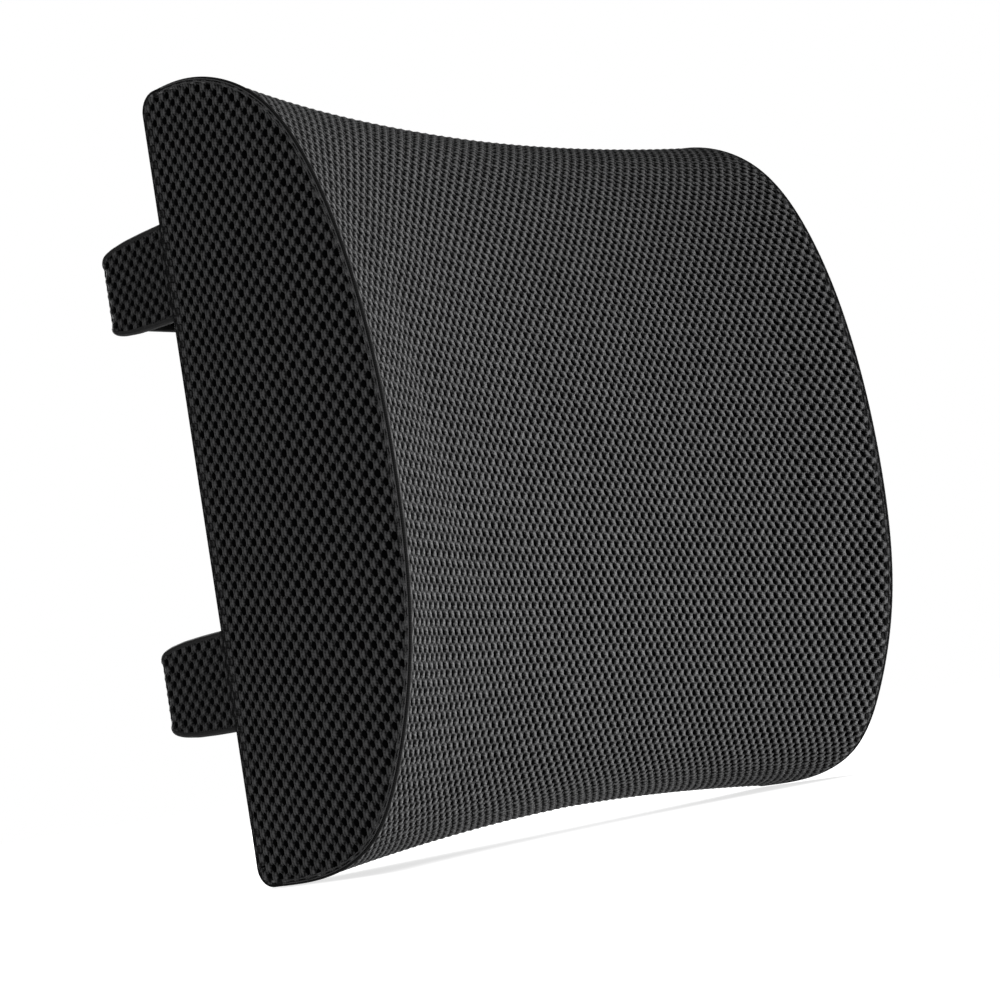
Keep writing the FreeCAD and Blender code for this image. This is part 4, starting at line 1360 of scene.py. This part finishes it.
def make_straps():
    """Upper and lower straps; each right webbing is built without a body, with its place baked into
    its points.
    """
    for name, height in STRAP_HEIGHTS.items():
        for hand, sign in (("left", -1), ("right", 1)):
            make_tab(name, height, hand, sign)
            bind_tab(name, height, hand, sign)
        make_webbing(name, "left", height, SOCKET_BAR, -SEWN_END, SOCKET_TAIL, "root")
        right = make_webbing(name, "right", height, PLUG_BAR, SEWN_END, PLUG_TAIL, None)
        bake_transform(right)
        make_box_stitches(name, height)


# Radius of the softened edges of each moulded or cast finish, metres.
SOFTENED = {"buckle_plastic": 0.00035, "zip_metal": 0.00015, "zip_teeth": 0.00012}


def soften(piece, radius):
    """Rounds the sharp edges of a hard part."""
    bevel = piece.modifiers.new("Softened", "BEVEL")
    bevel.width = radius
    bevel.segments = 2
    bevel.limit_method = "ANGLE"
    bevel.angle_limit = math.radians(40)


def dress_cad_nodes():
    """Materials and softened edges for the hard parts that keep their CAD shape."""
    finishes = {
        "foam_core": "foam", "inner_liner": "liner", "zip_tape_upper": "zip_tape",
        "zip_tape_lower": "zip_tape", "zip_teeth_upper": "zip_teeth",
        "zip_teeth_lower": "zip_teeth", "zip_stops": "zip_metal", "zip_slider": "zip_metal",
        "zip_pull": "zip_metal",
    }
    for name in STRAP_HEIGHTS:
        for part in ("buckle_socket", "buckle_plug", "top_prong", "bottom_prong", "tri_glide"):
            finishes[f"{name}_{part}"] = "buckle_plastic"
    for name, finish in finishes.items():
        piece = nodes[name]
        piece.data.materials.clear()
        piece.data.materials.append(MATERIALS[finish])
        if finish in SOFTENED:
            soften(piece, SOFTENED[finish])


# ---------------------------------------------------------------- floor, light and camera

AMBIENT = 0.12


def make_floor():
    """White floor with a painted contact shadow: its glow is a little darker where the cushion
    nearly touches it.
    """
    bpy.ops.mesh.primitive_plane_add(size=30, location=(0, 0, cad_low.z - 0.0004))
    floor = bpy.context.object
    floor.name = "floor"
    material, tree, shader = new_material("floor_paper", 1.0, 0.0, 0.0)
    grain = noise(tree, object_place(tree), 40, 3)
    tone = ramp(tree, grain, ((0.3, grey(0.60)), (0.7, grey(0.62))))
    link(tree, tone, shader.inputs["Base Color"])
    # Painted contact shadow: occlusion near the cushion darkens the floor's glow.
    contact_shadow_mask = node(tree, "ShaderNodeAmbientOcclusion")
    contact_shadow_mask.inputs["Distance"].default_value = 0.02
    glow_with_painted_shadow = ramp(tree, contact_shadow_mask.outputs["AO"], ((0.35, grey(0.72)), (0.9, grey(1))))
    link(tree, glow_with_painted_shadow, shader.inputs["Emission Color"])
    seen = node(tree, "ShaderNodeLightPath").outputs["Is Camera Ray"]
    link(tree, math_node(tree, "MAXIMUM", seen, AMBIENT), shader.inputs["Emission Strength"])
    floor.data.materials.append(material)
    floor.visible_shadow = False


# Each lamp's place, diameter and power; all of them point at the middle of the cushion.
LAMPS = {
    "right_key": ((2.0, -0.75, -0.3), 0.6, 26),
    "front_key": ((1.2, -1.8, -0.55), 0.6, 36),
    "left_fill": ((-1.2, -1.6, -0.1), 0.6, 9),
    "left_side_fill": ((-2.0, -0.7, -0.3), 0.6, 4),
    "back_fill": ((0.6, 1.7, 0.7), 1.2, 45),
}


def area_light(name, place, size, power):
    data = bpy.data.lights.new(name, "AREA")
    data.shape = "DISK"
    data.size = size
    data.energy = power
    lamp = bpy.data.objects.new(name, data)
    lamp.location = place
    lamp.rotation_mode = "QUATERNION"
    lamp.rotation_quaternion = (-Vector(place)).to_track_quat("-Z", "Y")
    lamp.visible_camera = False
    bpy.context.scene.collection.objects.link(lamp)


def make_light():
    """Lamps, and a white surround that shines weakly on the cushion."""
    for name, (place, size, power) in LAMPS.items():
        area_light(name, place, size, power)
    world = bpy.data.worlds.new("studio")
    bpy.context.scene.world = world
    world.use_nodes = True
    tree = world.node_tree
    background = tree.nodes["Background"]
    background.inputs["Color"].default_value = (1, 1, 1, 1)
    seen = node(tree, "ShaderNodeLightPath").outputs["Is Camera Ray"]
    link(tree, math_node(tree, "MAXIMUM", seen, AMBIENT), background.inputs["Strength"])
    bpy.context.scene.view_settings.view_transform = "Standard"


def make_camera():
    """Camera low and to the left of the front, tilted a little to one side. It stands to its own
    left of the line through the target, and below it."""
    azimuth, elevation, roll = (math.radians(a) for a in (-48.73, -6.23, -9.45))
    distance, left, below = 1.05036, 0.0261, 0.0140
    target = Vector((0, -0.050, -0.0065))
    back = Vector((math.sin(azimuth) * math.cos(elevation),
                   -math.cos(azimuth) * math.cos(elevation), math.sin(elevation)))
    right = (-back).cross(Vector((0, 0, 1))).normalized()
    up = right.cross(-back)
    turned_right = math.cos(roll) * right + math.sin(roll) * up
    turned_up = math.cos(roll) * up - math.sin(roll) * right
    data = bpy.data.cameras.new("camera")
    data.lens = 83.6
    data.sensor_width = 36
    data.clip_start = 0.05
    camera = bpy.data.objects.new("camera", data)
    axes = Matrix((turned_right, turned_up, back)).transposed()
    place = target + distance * back - left * turned_right - below * turned_up
    camera.matrix_world = Matrix.Translation(place) @ axes.to_4x4()
    bpy.context.scene.collection.objects.link(camera)
    bpy.context.scene.camera = camera


make_front()
make_side("left", -1)
make_side("right", 1)
make_end_seam("left", -1)
make_end_seam("right", 1)
make_back()
make_back_seams()
make_zip_hems()
make_straps()
dress_cad_nodes()
make_floor()
make_light()
make_camera()
